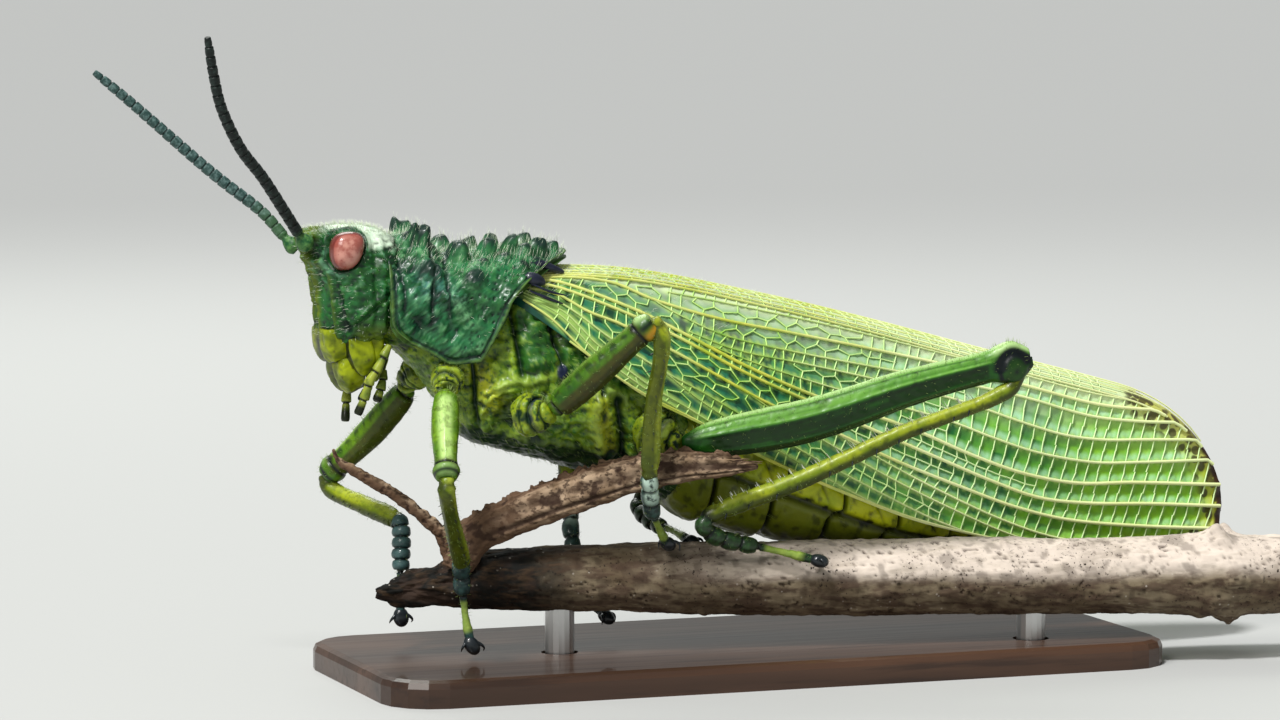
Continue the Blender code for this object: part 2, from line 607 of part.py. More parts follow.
def main():
    clear_scene()
    head_green = paint("head green", (0.035, 0.14, 0.04), 0.3)
    shell_green = paint("pronotum green", (0.02, 0.1, 0.05), 0.35)
    side_green = paint("thorax green", (0.2, 0.32, 0.03), 0.45)
    belly = paint("abdomen yellow", (0.45, 0.42, 0.03), 0.45)
    wing = paint("wing green", (0.2, 0.42, 0.06), 0.5)
    mouth = paint("mouth yellow", (0.5, 0.47, 0.05), 0.4)
    palp = paint("palp green", (0.25, 0.35, 0.05), 0.4)
    horn = paint("antenna black", (0.01, 0.015, 0.015), 0.4)
    eye = paint("eye pink", (0.6, 0.16, 0.13), 0.2)
    legs = {
        "coxa": paint("coxa green", (0.25, 0.36, 0.03), 0.4),
        "femur": paint("femur green", (0.12, 0.26, 0.03), 0.35),
        "tibia": paint("tibia olive", (0.36, 0.4, 0.04), 0.4),
        "tarsus": paint("tarsus teal", (0.02, 0.06, 0.06), 0.4),
    }
    bark = paint("bark", (0.2, 0.14, 0.09), 0.9)
    base_wood = paint("stand dark wood", (0.05, 0.03, 0.02), 0.4)
    steel = paint("stand steel", (0.5, 0.5, 0.5), 0.3, 1.0)

    pits = make_antennae(horn)
    sockets = make_eyes(eye)
    make_head(head_green, pits + sockets)
    make_mouth(mouth, palp)
    make_trunk(side_green, belly)
    make_pronotum(shell_green)
    make_wing("forewing_left", wing, -1)
    make_wing("forewing_right", wing, 1)
    body_room = trunk_piece("body_room", side_green, TRUNK[0][0], 0.0, 16, lambda share: GAP, helper=True)
    for name, route in LEGS.items():
        make_leg(name, route, legs, body_room)
    twig = make_perch(bark)
    make_stand(base_wood, steel, twig)

    ground = bpy.data.objects.new("perch_level", None)
    bpy.context.scene.collection.objects.link(ground)
    ground.location = (0, 0, PERCH_LEVEL * MM)
    for thing in bpy.data.objects:
        if thing != ground:
            thing.parent = ground


main()
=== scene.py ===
# Green milkweed grasshopper, a life-size museum model gripping a broken twig on a small stand.
# Numbers in the dictionaries are millimetres. Heights there start at the twig's axis level.
import math

import bmesh
import bpy
import numpy as np
from mathutils import Matrix, Vector, noise
from mathutils.kdtree import KDTree


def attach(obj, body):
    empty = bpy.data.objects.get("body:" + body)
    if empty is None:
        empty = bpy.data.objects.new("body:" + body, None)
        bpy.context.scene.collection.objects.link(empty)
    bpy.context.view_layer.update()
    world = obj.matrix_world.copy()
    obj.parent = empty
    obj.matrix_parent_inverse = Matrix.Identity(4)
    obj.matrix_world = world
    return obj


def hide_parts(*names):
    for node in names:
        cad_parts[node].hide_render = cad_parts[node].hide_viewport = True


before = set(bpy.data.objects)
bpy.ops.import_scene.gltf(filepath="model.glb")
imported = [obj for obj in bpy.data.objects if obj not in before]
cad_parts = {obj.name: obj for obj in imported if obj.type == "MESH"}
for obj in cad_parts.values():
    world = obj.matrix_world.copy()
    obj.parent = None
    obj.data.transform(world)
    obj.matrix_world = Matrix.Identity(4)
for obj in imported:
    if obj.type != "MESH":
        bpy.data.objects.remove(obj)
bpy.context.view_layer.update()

mm = 0.001
perchLevel = 6.9                # twig axis over the floor
up = Vector((0, 0, 1))
meshOf = {
    "marks": 400,               # readings along a table
    "path": 120,                # points along a limb's middle line
    "weldGap": 0.0005,
}


def hermite(before, low, high, after, share):
    span = high[0] - low[0]
    leave = (high[1] - before[1]) / (high[0] - before[0]) * span
    enter = (after[1] - low[1]) / (after[0] - low[0]) * span
    s2, s3 = share * share, share ** 3
    start = (2 * s3 - 3 * s2 + 1) * low[1] + (s3 - 2 * s2 + share) * leave
    return start + (3 * s2 - 2 * s3) * high[1] + (s3 - s2) * enter


def ease(table, where):
    # smooth reading of (place, number or numbers) rows
    if where <= table[0][0]:
        return table[0][1]
    if where >= table[-1][0]:
        return table[-1][1]
    k = next(i for i in range(1, len(table)) if where <= table[i][0])
    low, high = table[k - 1], table[k]
    before, after = table[max(k - 2, 0)], table[min(k + 1, len(table) - 1)]
    share = (where - low[0]) / (high[0] - low[0])
    if not isinstance(low[1], tuple):
        return hermite(before, low, high, after, share)
    rows = (before, low, high, after)
    return tuple(hermite(*[(row[0], row[1][n]) for row in rows], share) for n in range(len(low[1])))


def easeMany(table, places):
    # the same reading for a whole array of places
    marks = np.linspace(table[0][0], table[-1][0], meshOf["marks"])
    read = np.array([ease(table, mark) for mark in marks], float)
    if read.ndim == 1:
        return np.interp(places, marks, read)
    return tuple(np.interp(places, marks, read[:, n]) for n in range(read.shape[1]))


def smoothPath(points, count):
    marks = [0.0]
    for a, b in zip(points, points[1:]):
        marks.append(marks[-1] + (Vector(b) - Vector(a)).length)
    table = [(mark, tuple(point)) for mark, point in zip(marks, points)]
    return [Vector(ease(table, marks[-1] * i / (count - 1))) for i in range(count)]


def fade(value, low, high):
    # 0 below low, 1 above high, smooth between
    share = np.clip((np.asarray(value, float) - low) / (high - low), 0, 1)
    return share * share * (3 - 2 * share)


def within(value, low, lowFull, highFull, high):
    # 1 between the two full values, falling to 0 at low and at high
    return fade(value, low, lowFull) * (1 - fade(value, highFull, high))


def bump(value, centre, width):
    # 1 at the centre, falling away to both sides
    return np.exp(-((np.asarray(value, float) - centre) / width) ** 2)


def grainAt(points, size, seed=0.0, octaves=3):
    # soft noise from about -1 to 1 at many points
    offset = Vector((seed * 7.3, seed * 3.1, seed * 5.7))
    return np.array([noise.fractal(Vector(p) / size + offset, 1.0, 2.0, octaves) for p in points])


def cellsAt(points, size, seed=0.0):
    # distance to the nearest cell centre
    offset = Vector((seed * 4.7, seed * 9.1, seed * 2.3))
    return np.array([noise.voronoi(Vector(p) / size + offset)[0][0] for p in points]) * size


def lineDistance(points, line):
    # distance of each 2-D or 3-D point to a polyline
    points = np.asarray(points, float)
    best = np.full(len(points), 1e9)
    for a, b in zip(line, line[1:]):
        a, b = np.asarray(a, float), np.asarray(b, float)
        way = b - a
        share = np.clip(((points - a) @ way) / max(way @ way, 1e-12), 0, 1)
        best = np.minimum(best, np.linalg.norm(points - a - share[:, None] * way, axis=1))
    return best


def gridMesh(across, along):
    # a grid whose vertices carry their place (u across, v along, both 0 to 1)
    bm = bmesh.new()
    bmesh.ops.create_grid(bm, x_segments=across, y_segments=along, size=0.5)
    uv = np.array([(vert.co.x + 0.5, vert.co.y + 0.5) for vert in bm.verts])
    return bm, uv


def place(bm, spots):
    for vert, spot in zip(bm.verts, spots):
        vert.co = spot


def normalsOf(bm):
    bm.normal_update()
    return np.array([vert.normal for vert in bm.verts])


def spotsOf(bm):
    return np.array([vert.co for vert in bm.verts])


def pushOut(bm, spots, away, push):
    moved = spots + away * push[:, None]
    place(bm, moved)
    return moved


def mark(bm, **masks):
    # masks from 0 to 1 that the finish reads
    for name, values in masks.items():
        layer = bm.verts.layers.float.new(name)
        for vert, value in zip(bm.verts, np.clip(values, 0, 1)):
            vert[layer] = float(value)


def faceOut(bm, flow):
    # flow is above 0 where a face looks outwards
    bmesh.ops.recalc_face_normals(bm, faces=bm.faces[:])
    if sum(flow(face) for face in bm.faces) < 0:
        bmesh.ops.reverse_faces(bm, faces=bm.faces[:])


def finishPiece(name, bm, finish, replaced=None, welded=False):
    # a mesh in millimetres over the twig's level becomes a piece, which stands for the node of its name
    if welded:
        bmesh.ops.remove_doubles(bm, verts=bm.verts[:], dist=meshOf["weldGap"])
        bmesh.ops.recalc_face_normals(bm, faces=bm.faces[:])
    bmesh.ops.scale(bm, vec=(mm, mm, mm), verts=bm.verts[:])
    bmesh.ops.translate(bm, vec=(0, 0, perchLevel * mm), verts=bm.verts[:])
    mesh = bpy.data.meshes.new(name)
    bm.to_mesh(mesh)
    bm.free()
    mesh.materials.append(finish)
    mesh.shade_smooth()
    piece = bpy.data.objects.new(name, mesh)
    bpy.context.scene.collection.objects.link(piece)
    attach(piece, "root")
    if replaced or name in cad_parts:
        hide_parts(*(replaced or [name]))
    return piece


def thicken(piece, thickness):
    # a wall on the inner side of an open shell
    wall = piece.modifiers.new("wall", "SOLIDIFY")
    wall.thickness = thickness * mm
    wall.offset = -1.0


skins = {}                      # name: points, directions outwards, unwrapped places and share of the area


def keepSkin(name, spots, away, uv, grid=None):
    # what the hairs need to know of a skin
    area = np.ones(len(spots))
    if grid is not None:
        along, across = np.gradient(grid, axis=0), np.gradient(grid, axis=1)
        area = np.linalg.norm(np.cross(along, across), axis=2).reshape(-1)
    skins[name] = (spots, away, uv, area)


def frames(path):
    # direction at each point of a path
    last = len(path) - 1
    return [(path[min(i + 1, last)] - path[max(i - 1, 0)]).normalized() for i in range(last + 1)]


def strands(name, lines, finish, sides=4):
    # many thin round lines, each a list of (point, radius), as one mesh through a bevelled curve
    curve = bpy.data.curves.new(name, "CURVE")
    curve.dimensions = "3D"
    curve.bevel_depth = 1.0
    curve.bevel_resolution = (sides - 4) // 2
    curve.use_fill_caps = True
    for line in lines:
        spline = curve.splines.new("POLY")
        spline.points.add(len(line) - 1)
        for point, (spot, radius) in zip(spline.points, line):
            point.co = (*spot, 1.0)
            point.radius = radius
    holder = bpy.data.objects.new(name, curve)
    bpy.context.scene.collection.objects.link(holder)
    made = bpy.data.meshes.new_from_object(holder.evaluated_get(bpy.context.evaluated_depsgraph_get()))
    bm = bmesh.new()
    bm.from_mesh(made)
    bpy.data.objects.remove(holder)
    bpy.data.meshes.remove(made)
    bpy.data.curves.remove(curve)
    bmesh.ops.recalc_face_normals(bm, faces=bm.faces[:])
    return finishPiece(name, bm, finish)


def surface(across, along, shape, closed=True):
    # a sheet or a skin that closes round u: shape gets the places (u, v) and returns points
    bm, uv = gridMesh(across, along)
    rows = (along + 1, across + 1)
    points = shape(uv[:, 0], uv[:, 1]).reshape(*rows, 3)
    if closed:
        points[:, -1] = points[:, 0]
    return bm, uv, points


def outward(points, closed=True):
    # unit normals of a grid of points
    if closed:
        ring = np.concatenate([points[:, -2:-1], points, points[:, 1:2]], axis=1)
        side = (ring[:, 2:] - ring[:, :-2])
    else:
        side = np.gradient(points, axis=1)
    ahead = np.gradient(points, axis=0)
    face = np.cross(side, ahead)
    size = np.linalg.norm(face, axis=2, keepdims=True)
    face = np.where(size > 1e-9, face / np.maximum(size, 1e-9), 0.0)
    if closed:
        middle = points[:, :-1].mean(axis=1, keepdims=True)
        if ((points - middle) * face).sum() < 0:
            face = -face
        for end, near in ((0, 1), (-1, -2)):
            face[end] = face[near, :-1].mean(axis=0)
    return face


def closedSkin(across, along, shape):
    # a mesh closed round u with its places, its grid of points, the points in one row and the way out
    bm, uv, points = surface(across, along, shape)
    return bm, uv, points, points.reshape(-1, 3), outward(points).reshape(-1, 3)


def roundEnds(v, sharp=10.0):
    # 0 at both ends, 1 along the middle
    return np.clip(1 - np.abs(2 * v - 1) ** sharp, 0, 1) ** (1 / sharp)


def signedPower(value, power):
    return np.sign(value) * np.abs(value) ** power


def tubeSpots(route, sizes, u, v, power=2.0, hint=up, ends=10.0):
    # points round a curved, tapering body; sizes maps the share of its length to (half width, half height)
    path = smoothPath(route, meshOf["path"])
    shares = np.linspace(0, 1, len(path))
    ways = frames(path)
    sides = [way.cross(hint).normalized() for way in ways]
    tops = [side.cross(way).normalized() for side, way in zip(sides, ways)]
    middle, across, over = (np.stack([np.interp(v, shares, [spot[k] for spot in row]) for k in range(3)], 1)
                            for row in (path, sides, tops))
    wide, high = easeMany(sizes, v)
    angle = u * 2 * math.pi
    x = signedPower(np.cos(angle), 2 / power) * wide
    y = signedPower(np.sin(angle), 2 / power) * high
    close = roundEnds(v, ends)
    return middle + across * (x * close)[:, None] + over * (y * close)[:, None]


def evenEnds(v, share=0.55):
    # rows closer together towards both ends
    return (1 - share) * v + share * (0.5 - 0.5 * np.cos(math.pi * v))


class Wire:
    # a socket that can stand in sums
    def __init__(self, paint, socket):
        self.paint = paint
        self.socket = socket

    def maths(self, operation, *values):
        return self.paint.node("Math", {"operation": operation}, dict(enumerate(values)))

    def __add__(self, other):
        return self.maths("ADD", self, other)

    def __radd__(self, other):
        return self.maths("ADD", other, self)

    def __sub__(self, other):
        return self.maths("SUBTRACT", self, other)

    def __rsub__(self, other):
        return self.maths("SUBTRACT", other, self)

    def __mul__(self, other):
        return self.maths("MULTIPLY", self, other)

    def __rmul__(self, other):
        return self.maths("MULTIPLY", other, self)

    def clamp(self):
        return self.paint.node("Clamp", {}, {0: self})


class Finish:
    # one material, its nodes made by one method
    def __init__(self, name, **plain):
        self.material = bpy.data.materials.new(name)
        self.material.use_nodes = True
        self.tree = self.material.node_tree
        self.shader = self.tree.nodes["Principled BSDF"]
        self.shader.inputs["Specular IOR Level"].default_value = 0.26
        for socket, value in plain.items():
            self.shader.inputs[socket.replace("_", " ")].default_value = value

    def node(self, kind, settings, values, out=0):
        made = self.tree.nodes.new("ShaderNode" + kind)
        for name, value in settings.items():
            setattr(made, name, value)
        for socket, value in values.items():
            self.feed(made.inputs[socket], value)
        return Wire(self, made.outputs[out])

    def feed(self, socket, value):
        if isinstance(value, Wire):
            self.tree.links.new(value.socket, socket)
        elif isinstance(value, tuple) and len(value) == 3 and socket.type == "RGBA":
            socket.default_value = (*value, 1.0)
        else:
            socket.default_value = value

    def mix(self, factor, first, second):
        settings = {"data_type": "RGBA", "clamp_factor": True}
        return self.node("Mix", settings, {0: factor, 6: first, 7: second}, 2)

    def over(self, colour, *layers):
        # each layer is (where it shows, its colour) and covers what is below
        for factor, tint in layers:
            colour = self.mix(factor, colour, tint)
        return colour

    def mask(self, name):
        return self.node("Attribute", {"attribute_name": name}, {}, "Fac")

    def spots(self, stretch=(1, 1, 1)):
        # object coordinates counted in millimetres
        inside = self.node("TexCoord", {}, {}, "Object")
        scaled = tuple(1000 * s for s in stretch)
        return self.node("Mapping", {}, {0: inside, "Scale": scaled})

    def place(self, axis):
        return self.node("SeparateXYZ", {}, {0: self.spots()}, axis)

    def grain(self, scale, detail=3.0, stretch=(1, 1, 1)):
        values = {"Vector": self.spots(stretch), "Scale": scale, "Detail": detail, "Roughness": 0.55}
        return self.node("TexNoise", {}, values)

    def cells(self, scale):
        return self.node("TexVoronoi", {}, {"Vector": self.spots(), "Scale": scale})

    def step(self, value, low, high):
        settings = {"interpolation_type": "SMOOTHSTEP"}
        return self.node("MapRange", settings, {"Value": value, "From Min": low, "From Max": high})

    def done(self, colour, roughness=None, height=None, depth=0.00005, strength=0.5):
        self.feed(self.shader.inputs["Base Color"], colour)
        if roughness is not None:
            self.feed(self.shader.inputs["Roughness"], roughness)
        if height is not None:
            values = {"Height": height, "Distance": depth, "Strength": strength}
            self.feed(self.shader.inputs["Normal"], self.node("Bump", {}, values))
        return self.material


def hairFinish(name, roughness, deep, bright):
    paint = Finish(name, Roughness=roughness)
    return paint.done(paint.mix(paint.grain(1.0, 2), deep, bright))


# the stage is in metres, degrees and watts
viewOf = {
    "azimuth": -20.0,
    "elevation": 5.0,
    "distance": 0.36,
    "lens": 135.0,
    "target": (-0.008, 0.0, 0.0235),
}


def aimed(spot, target):
    # a camera or lamp at the spot looks at the target
    return (Vector(spot) - Vector(target)).to_track_quat("Z", "Y").to_euler()


def setCamera():
    turn, lift = math.radians(viewOf["azimuth"]), math.radians(viewOf["elevation"])
    back = Vector((math.sin(turn) * math.cos(lift), -math.cos(turn) * math.cos(lift), math.sin(lift)))
    data = bpy.data.cameras.new("viewpoint")
    data.lens = viewOf["lens"]
    data.sensor_width = 36.0
    data.clip_start = 0.01
    camera = bpy.data.objects.new("viewpoint", data)
    camera.location = Vector(viewOf["target"]) + back * viewOf["distance"]
    camera.rotation_euler = aimed(back, (0, 0, 0))
    bpy.context.scene.collection.objects.link(camera)
    bpy.context.scene.camera = camera


lightOf = {
    "key": {"at": (-0.24, -0.20, 0.24), "size": 0.12, "power": 0.55, "tint": (1.0, 0.98, 0.93)},
    "rim": {"at": (0.02, 0.34, 0.34), "size": 0.22, "power": 0.75, "tint": (0.97, 1.0, 0.95)},
}
sunOf = {"angle": 9.0, "strength": 3.3, "tilt": (31.0, 0.0, -48.0)}
skyOf = {"tint": (0.97, 1.0, 0.98, 1.0), "strength": 0.3}


def setLights():
    for name, light in lightOf.items():
        data = bpy.data.lights.new(name, "AREA")
        data.size = light["size"]
        data.energy = light["power"]
        data.color = light["tint"]
        lamp = bpy.data.objects.new(name, data)
        lamp.location = light["at"]
        lamp.rotation_euler = aimed(light["at"], (0, 0, 0.02))
        bpy.context.scene.collection.objects.link(lamp)
    sun = bpy.data.lights.new("soft sun", "SUN")
    sun.energy = sunOf["strength"]
    sun.angle = math.radians(sunOf["angle"])
    lamp = bpy.data.objects.new("soft sun", sun)
    lamp.rotation_euler = [math.radians(turn) for turn in sunOf["tilt"]]
    bpy.context.scene.collection.objects.link(lamp)
    sky = bpy.data.worlds.new("studio")
    sky.use_nodes = True
    sky.node_tree.nodes["Background"].inputs[0].default_value = skyOf["tint"]
    sky.node_tree.nodes["Background"].inputs[1].default_value = skyOf["strength"]
    bpy.context.scene.world = sky
    bpy.context.scene.view_settings.view_transform = "Standard"


floorOf = {"size": 30.0, "colour": (0.47, 0.475, 0.465)}


def setFloor():
    bm = bmesh.new()
    bmesh.ops.create_grid(bm, x_segments=1, y_segments=1, size=floorOf["size"] / 2)
    mesh = bpy.data.meshes.new("floor")
    bm.to_mesh(mesh)
    bm.free()
    paint = Finish("pale floor", Roughness=0.85)
    mesh.materials.append(paint.done(floorOf["colour"]))
    floor = bpy.data.objects.new("floor", mesh)
    bpy.context.scene.collection.objects.link(floor)


# forewings
wingOf = {
    "root": (-16.5, 0.0, 22.0),
    "slope": math.radians(-17.1),
    "start": -2.6,              # the root is tucked under the pronotum
    "length": 59.9,
    "apexStart": 48.5,
    "apexLevel": -2.2,
    "clavus": 0.24,             # share of the width that lies on the back
    "membrane": 0.14,
    "top": [(-2.6, 0.7), (0, 1.75), (7, 3.45), (16.5, 4.45), (26, 5.05), (36, 5.4), (49, 5.9), (60, 6.0)],
    "low": [(-2.6, -1.3), (0, -2.2), (8, -5.1), (13, -6.0), (19, -7.2), (28, -8.2), (34, -8.5), (48, -7.7),
            (60, -7.3)],
    "ridge": [(-2.6, 2.3), (0, 3.2), (10, 3.2), (25, 2.6), (40, 1.8), (50, 1.2), (60, 0.75)],
    "skirt": [(-2.6, 4.2), (0, 5.3), (8, 6.5), (20, 6.3), (30, 5.4), (40, 4.1), (50, 2.7), (60, 1.3)],
    "flute": 0.2,               # how deep the membrane hangs between the long veins
    "cell": 0.68,               # height of a row of cells
    "netting": 0.056,
    "columns": [(0.6, 26, 0.88), (26.2, 58.9, 1.08)],       # start, end and pitch of the cross-veins
    "farFrom": 26,              # from here on the cross-veins are straighter
    "ladderFrom": (32, 43),     # from somewhere here on, a field has one row of them
    "narrow": 0.32,             # fields narrower than this stay empty
    "backVeins": [(0.012, 57), (0.07, 50), (0.13, 52), (0.19, 48)],     # share across, end
    "rimEnd": 59.85,
    "stout": ("ridge", "radius1", "stem1", "stem2", "cubitus", "hem"),
    # dark plates of the wing's hinge: route and radius
    "hinge": [([(-18.6, 3.0, 24.4), (-17.3, 3.3, 24.3), (-16.1, 3.4, 23.9), (-15.2, 3.3, 23.6)], 0.36),
              ([(-18.9, 4.2, 23.4), (-17.9, 4.5, 23.2), (-17.1, 4.6, 22.9)], 0.52),
              ([(-18.4, 5.0, 22.4), (-17.0, 5.15, 21.8), (-15.9, 5.2, 21.4)], 0.13),
              ([(-18.2, 4.8, 22.9), (-16.8, 5.0, 22.3), (-15.6, 5.05, 22.0)], 0.1)],
}

# each long vein: radius at its foot and its tip, then places (along, across) on the wing
veinsOf = {
    "ridge": (0.11, 0.08, [(-2, 0.6), (0.4, 1.6), (7, 3.2), (16.5, 4.15), (26, 4.7), (36, 5.0), (46, 5.2),
                           (50, 5.35), (52.8, 5.35)]),
    "upper": (0.0612, 0.072,
              [(9, 2.7), (14, 3.2), (22, 3.8), (30, 4.2), (38, 4.5), (45, 4.7), (49.5, 5.1)]),
    "radius1": (0.116, 0.14,
                [(-2, 0.5), (0.6, 1.5), (4.5, 2.2), (8, 1.85), (13.5, 1.9), (19, 2.4), (27, 3.1), (34, 3.6),
                            (40, 3.8), (46, 4.0), (50, 4.6), (52.6, 5.25)]),
    "radius2": (0.0612, 0.14, [(8, 1.8), (10, 1.3), (14, 0.8), (19.5, 1.1), (27, 1.8), (34, 2.5), (40, 2.9),
                             (46, 3.0), (50.4, 3.7), (54.8, 4.75)]),
    "media1": (0.0561, 0.14,
               [(11, 0.3), (15, 0.0), (20.5, 0.45), (27, 0.9), (34.5, 1.2), (40, 1.0), (44, 1.0),
                            (47.5, 1.5), (51, 2.4), (56.5, 3.8)]),
    "media2": (0.051, 0.14, [(12.8, -0.25), (17, -0.55), (22, -0.65), (28, -0.6), (33.4, -0.5), (38, -0.8),
                           (42, -0.9), (47, -0.4), (51, 0.6), (57.9, 2.55)]),
    "stem1": (0.139, 0.151,
              [(-2, 0.4), (0.2, 1.1), (6.3, 0.75), (10, 0.15), (16, -0.95), (21.7, -1.6), (27, -1.75),
                           (31.6, -2.0), (36, -2.5), (41, -2.75), (46, -2.3), (51, -1.0), (58.95, 0.8)]),
    "stem2": (0.128, 0.151,
              [(-2, 0.2), (0.2, 0.7), (6.3, 0.25), (10, -0.3), (16, -1.45), (22, -2.2), (28, -2.9),
                           (33.6, -3.5), (38.5, -4.0), (43, -4.2), (47.6, -3.5), (53, -2.2), (59.4, -0.8)]),
    "cubitus": (0.116, 0.151,
                [(-2, 0.0), (0.3, 0.2), (2.8, -0.4), (5.4, -0.6), (10, -1.45), (14, -2.3), (18.5, -3.2),
                            (24, -3.8), (30, -4.6), (36, -5.1), (41, -5.4), (46, -5.2), (52.5, -4.1),
                            (59.45, -2.6)]),
    "fan1": (0.0561, 0.13,
             [(24, -3.8), (29, -4.9), (34, -5.8), (40, -6.6), (45, -6.8), (50, -6.2), (58.6, -4.5)]),
    "fan2": (0.0612, 0.072,
             [(16, -2.75), (20, -3.9), (25, -5.0), (30, -6.0), (35, -6.8), (41, -7.5), (47, -7.6)]),
    "fan3": (0.0818, 0.072,
             [(-2, -0.2), (0.8, -0.4), (5, -1.9), (9.5, -3.1), (13, -3.8), (18, -5.0), (23, -6.1),
                          (29, -7.2), (34, -8.0), (38, -8.35)]),
    "fan4": (0.0561, 0.064, [(9.5, -3.1), (12.5, -4.3), (17, -5.6), (22, -6.8), (27, -7.8), (30, -8.3)]),
    "fan5": (0.0663, 0.064,
             [(-2, -0.4), (0.9, -0.9), (4, -2.6), (8, -4.2), (12, -5.2), (16, -6.3), (19.5, -7.2)]),
    "fan6": (0.051, 0.056, [(-2, -0.6), (0.9, -1.3), (4, -3.1), (8, -4.6), (11, -5.4)]),
    "hem": (0.0867, 0.08,
            [(-2, -0.9), (0.2, -1.7), (4, -3.7), (8, -5.0), (13, -5.9), (19, -7.1), (28, -8.1), (34, -8.4),
                        (41, -8.1), (48, -7.6)]),
}


def wingEdge(table, along):
    edge = easeMany(table, along)
    closing = np.clip((along - wingOf["apexStart"]) / (wingOf["length"] - wingOf["apexStart"]), 0, 1)
    level = wingOf["apexLevel"]
    return level + (edge - level) * (1 - closing ** 2.1) ** (1 / 2.1)


def wingSpots(along, share, way, lift=0.0):
    # share runs from the inner margin on the back to the lower margin
    top, low = wingEdge(wingOf["top"], along), wingEdge(wingOf["low"], along)
    ridge, skirt = easeMany(wingOf["ridge"], along), easeMany(wingOf["skirt"], along)
    inner = 0.45 if way > 0 else -0.6        # the left wing laps over the right one
    clavus = wingOf["clavus"]
    onBack = share < clavus
    turn = np.clip(share / clavus, 0, 1) * math.pi / 2
    backOut = inner + (ridge - inner) * np.sin(turn)
    backOver = top - (top - low) * 0.06 * (1 - np.cos(turn)) + (0.22 * (1 - np.sin(turn)) if way < 0 else 0.0)
    side = np.clip((share - clavus) / (1 - clavus), 0, 1)
    sideOut = ridge + (skirt - ridge) * np.sin(side * math.pi / 2)
    sideOver = low + (top - low) * 0.94 * (1 - side)
    out = np.where(onBack, backOut, sideOut) + lift * np.where(onBack, np.sin(turn), 1.0)
    over = np.where(onBack, backOver, sideOver) + lift * np.where(onBack, np.cos(turn), 0.0)
    slope = wingOf["slope"]
    root = wingOf["root"]
    x = root[0] + along * math.cos(slope) - over * math.sin(slope)
    z = root[2] + along * math.sin(slope) + over * math.cos(slope)
    return np.stack([x, way * out, z], axis=1)


def wingShare(along, across):
    # where a height across the wing lies in the share from the inner margin to the lower one
    top, low = wingEdge(wingOf["top"], along), wingEdge(wingOf["low"], along)
    side = 1 - (across - low) / ((top - low) * 0.94)
    return wingOf["clavus"] + (1 - wingOf["clavus"]) * np.clip(side, 0, 1)


def wingLevel(along, share):
    top, low = wingEdge(wingOf["top"], along), wingEdge(wingOf["low"], along)
    side = (share - wingOf["clavus"]) / (1 - wingOf["clavus"])
    return low + (top - low) * 0.94 * (1 - side)


def longVeins():
    # name: path on the wing plane and the radius along it
    found = {}
    for name, (foot, tip, marks) in veinsOf.items():
        path = np.array([(p.x, p.y) for p in smoothPath([(a, c, 0) for a, c in marks], 70)])
        found[name] = (path, np.linspace(foot, tip, 70))
    return found


def netBetween(long, rng):
    # short veins fill the fields between the long ones; each cell they close gets a tone
    columns = np.concatenate([np.arange(*run) for run in wingOf["columns"]])
    fields = {}
    for column, along in enumerate(columns):
        here = sorted(((np.interp(along, path[:, 0], path[:, 1]), name) for name, (path, _) in long.items()
                       if path[0, 0] <= along <= path[-1, 0]), reverse=True)
        for (upper, first), (lower, second) in zip(here, here[1:]):
            fields.setdefault((first, second), []).append((column, along, upper, lower))
    net, cells = [], []
    for rows in fields.values():
        before = None
        ladder = rng.uniform(*wingOf["ladderFrom"])
        for column, along, upper, lower in rows:
            gap = upper - lower
            if gap < wingOf["narrow"]:
                before = None
                continue
            far, tip = along > wingOf["farFrom"], along > ladder
            chains = max(int(round(gap / (wingOf["cell"] * (1.22 if far else 1.0)))) - 1, 0)
            wobble = 0.12 if far else 1.0
            loose = 0.3 if tip else 1.0
            step = gap / (chains + 1)
            nodes = [(along + rng.normal(0, 0.12) * loose, upper)]
            for m in range(1, chains + 1):
                zig = (0.24 if (column + m) % 2 else -0.24) * wobble * step
                level = upper - m * step + zig + rng.normal(0, 0.07) * wobble
                nodes.append((along + rng.normal(0, 0.16) * loose, level))
            nodes.append((along + rng.normal(0, 0.12) * loose - 0.1, lower))
            for m in range(chains + 1):
                if far or chains == 0 or (column + m) % 2 == 0:
                    shift = rng.uniform(-0.07, 0.07) if far else 0.0
                    net.append([(spot + shift, level) for spot, level in nodes[m:m + 2]])
                cells.append((along - 0.5, (nodes[m][1] + nodes[m + 1][1]) / 2, rng.random()))
            if before is not None and before[0] == column - 1:
                old = before[1]
                for m in range(1, 1 if tip else min(len(old), len(nodes)) - 1):
                    net.append([old[m], nodes[m]])
            before = (column, nodes)
    return [np.array(pair) for pair in net], cells


def nearestOf(points, spots):
    # distance to the nearest of many points in the plane, and which one it is
    tree = KDTree(len(points))
    for k, point in enumerate(points):
        tree.insert((point[0], point[1], 0.0), k)
    tree.balance()
    found = [tree.find((a, c, 0.0)) for a, c in spots]
    return np.array([f[2] for f in found]), np.array([f[1] for f in found])


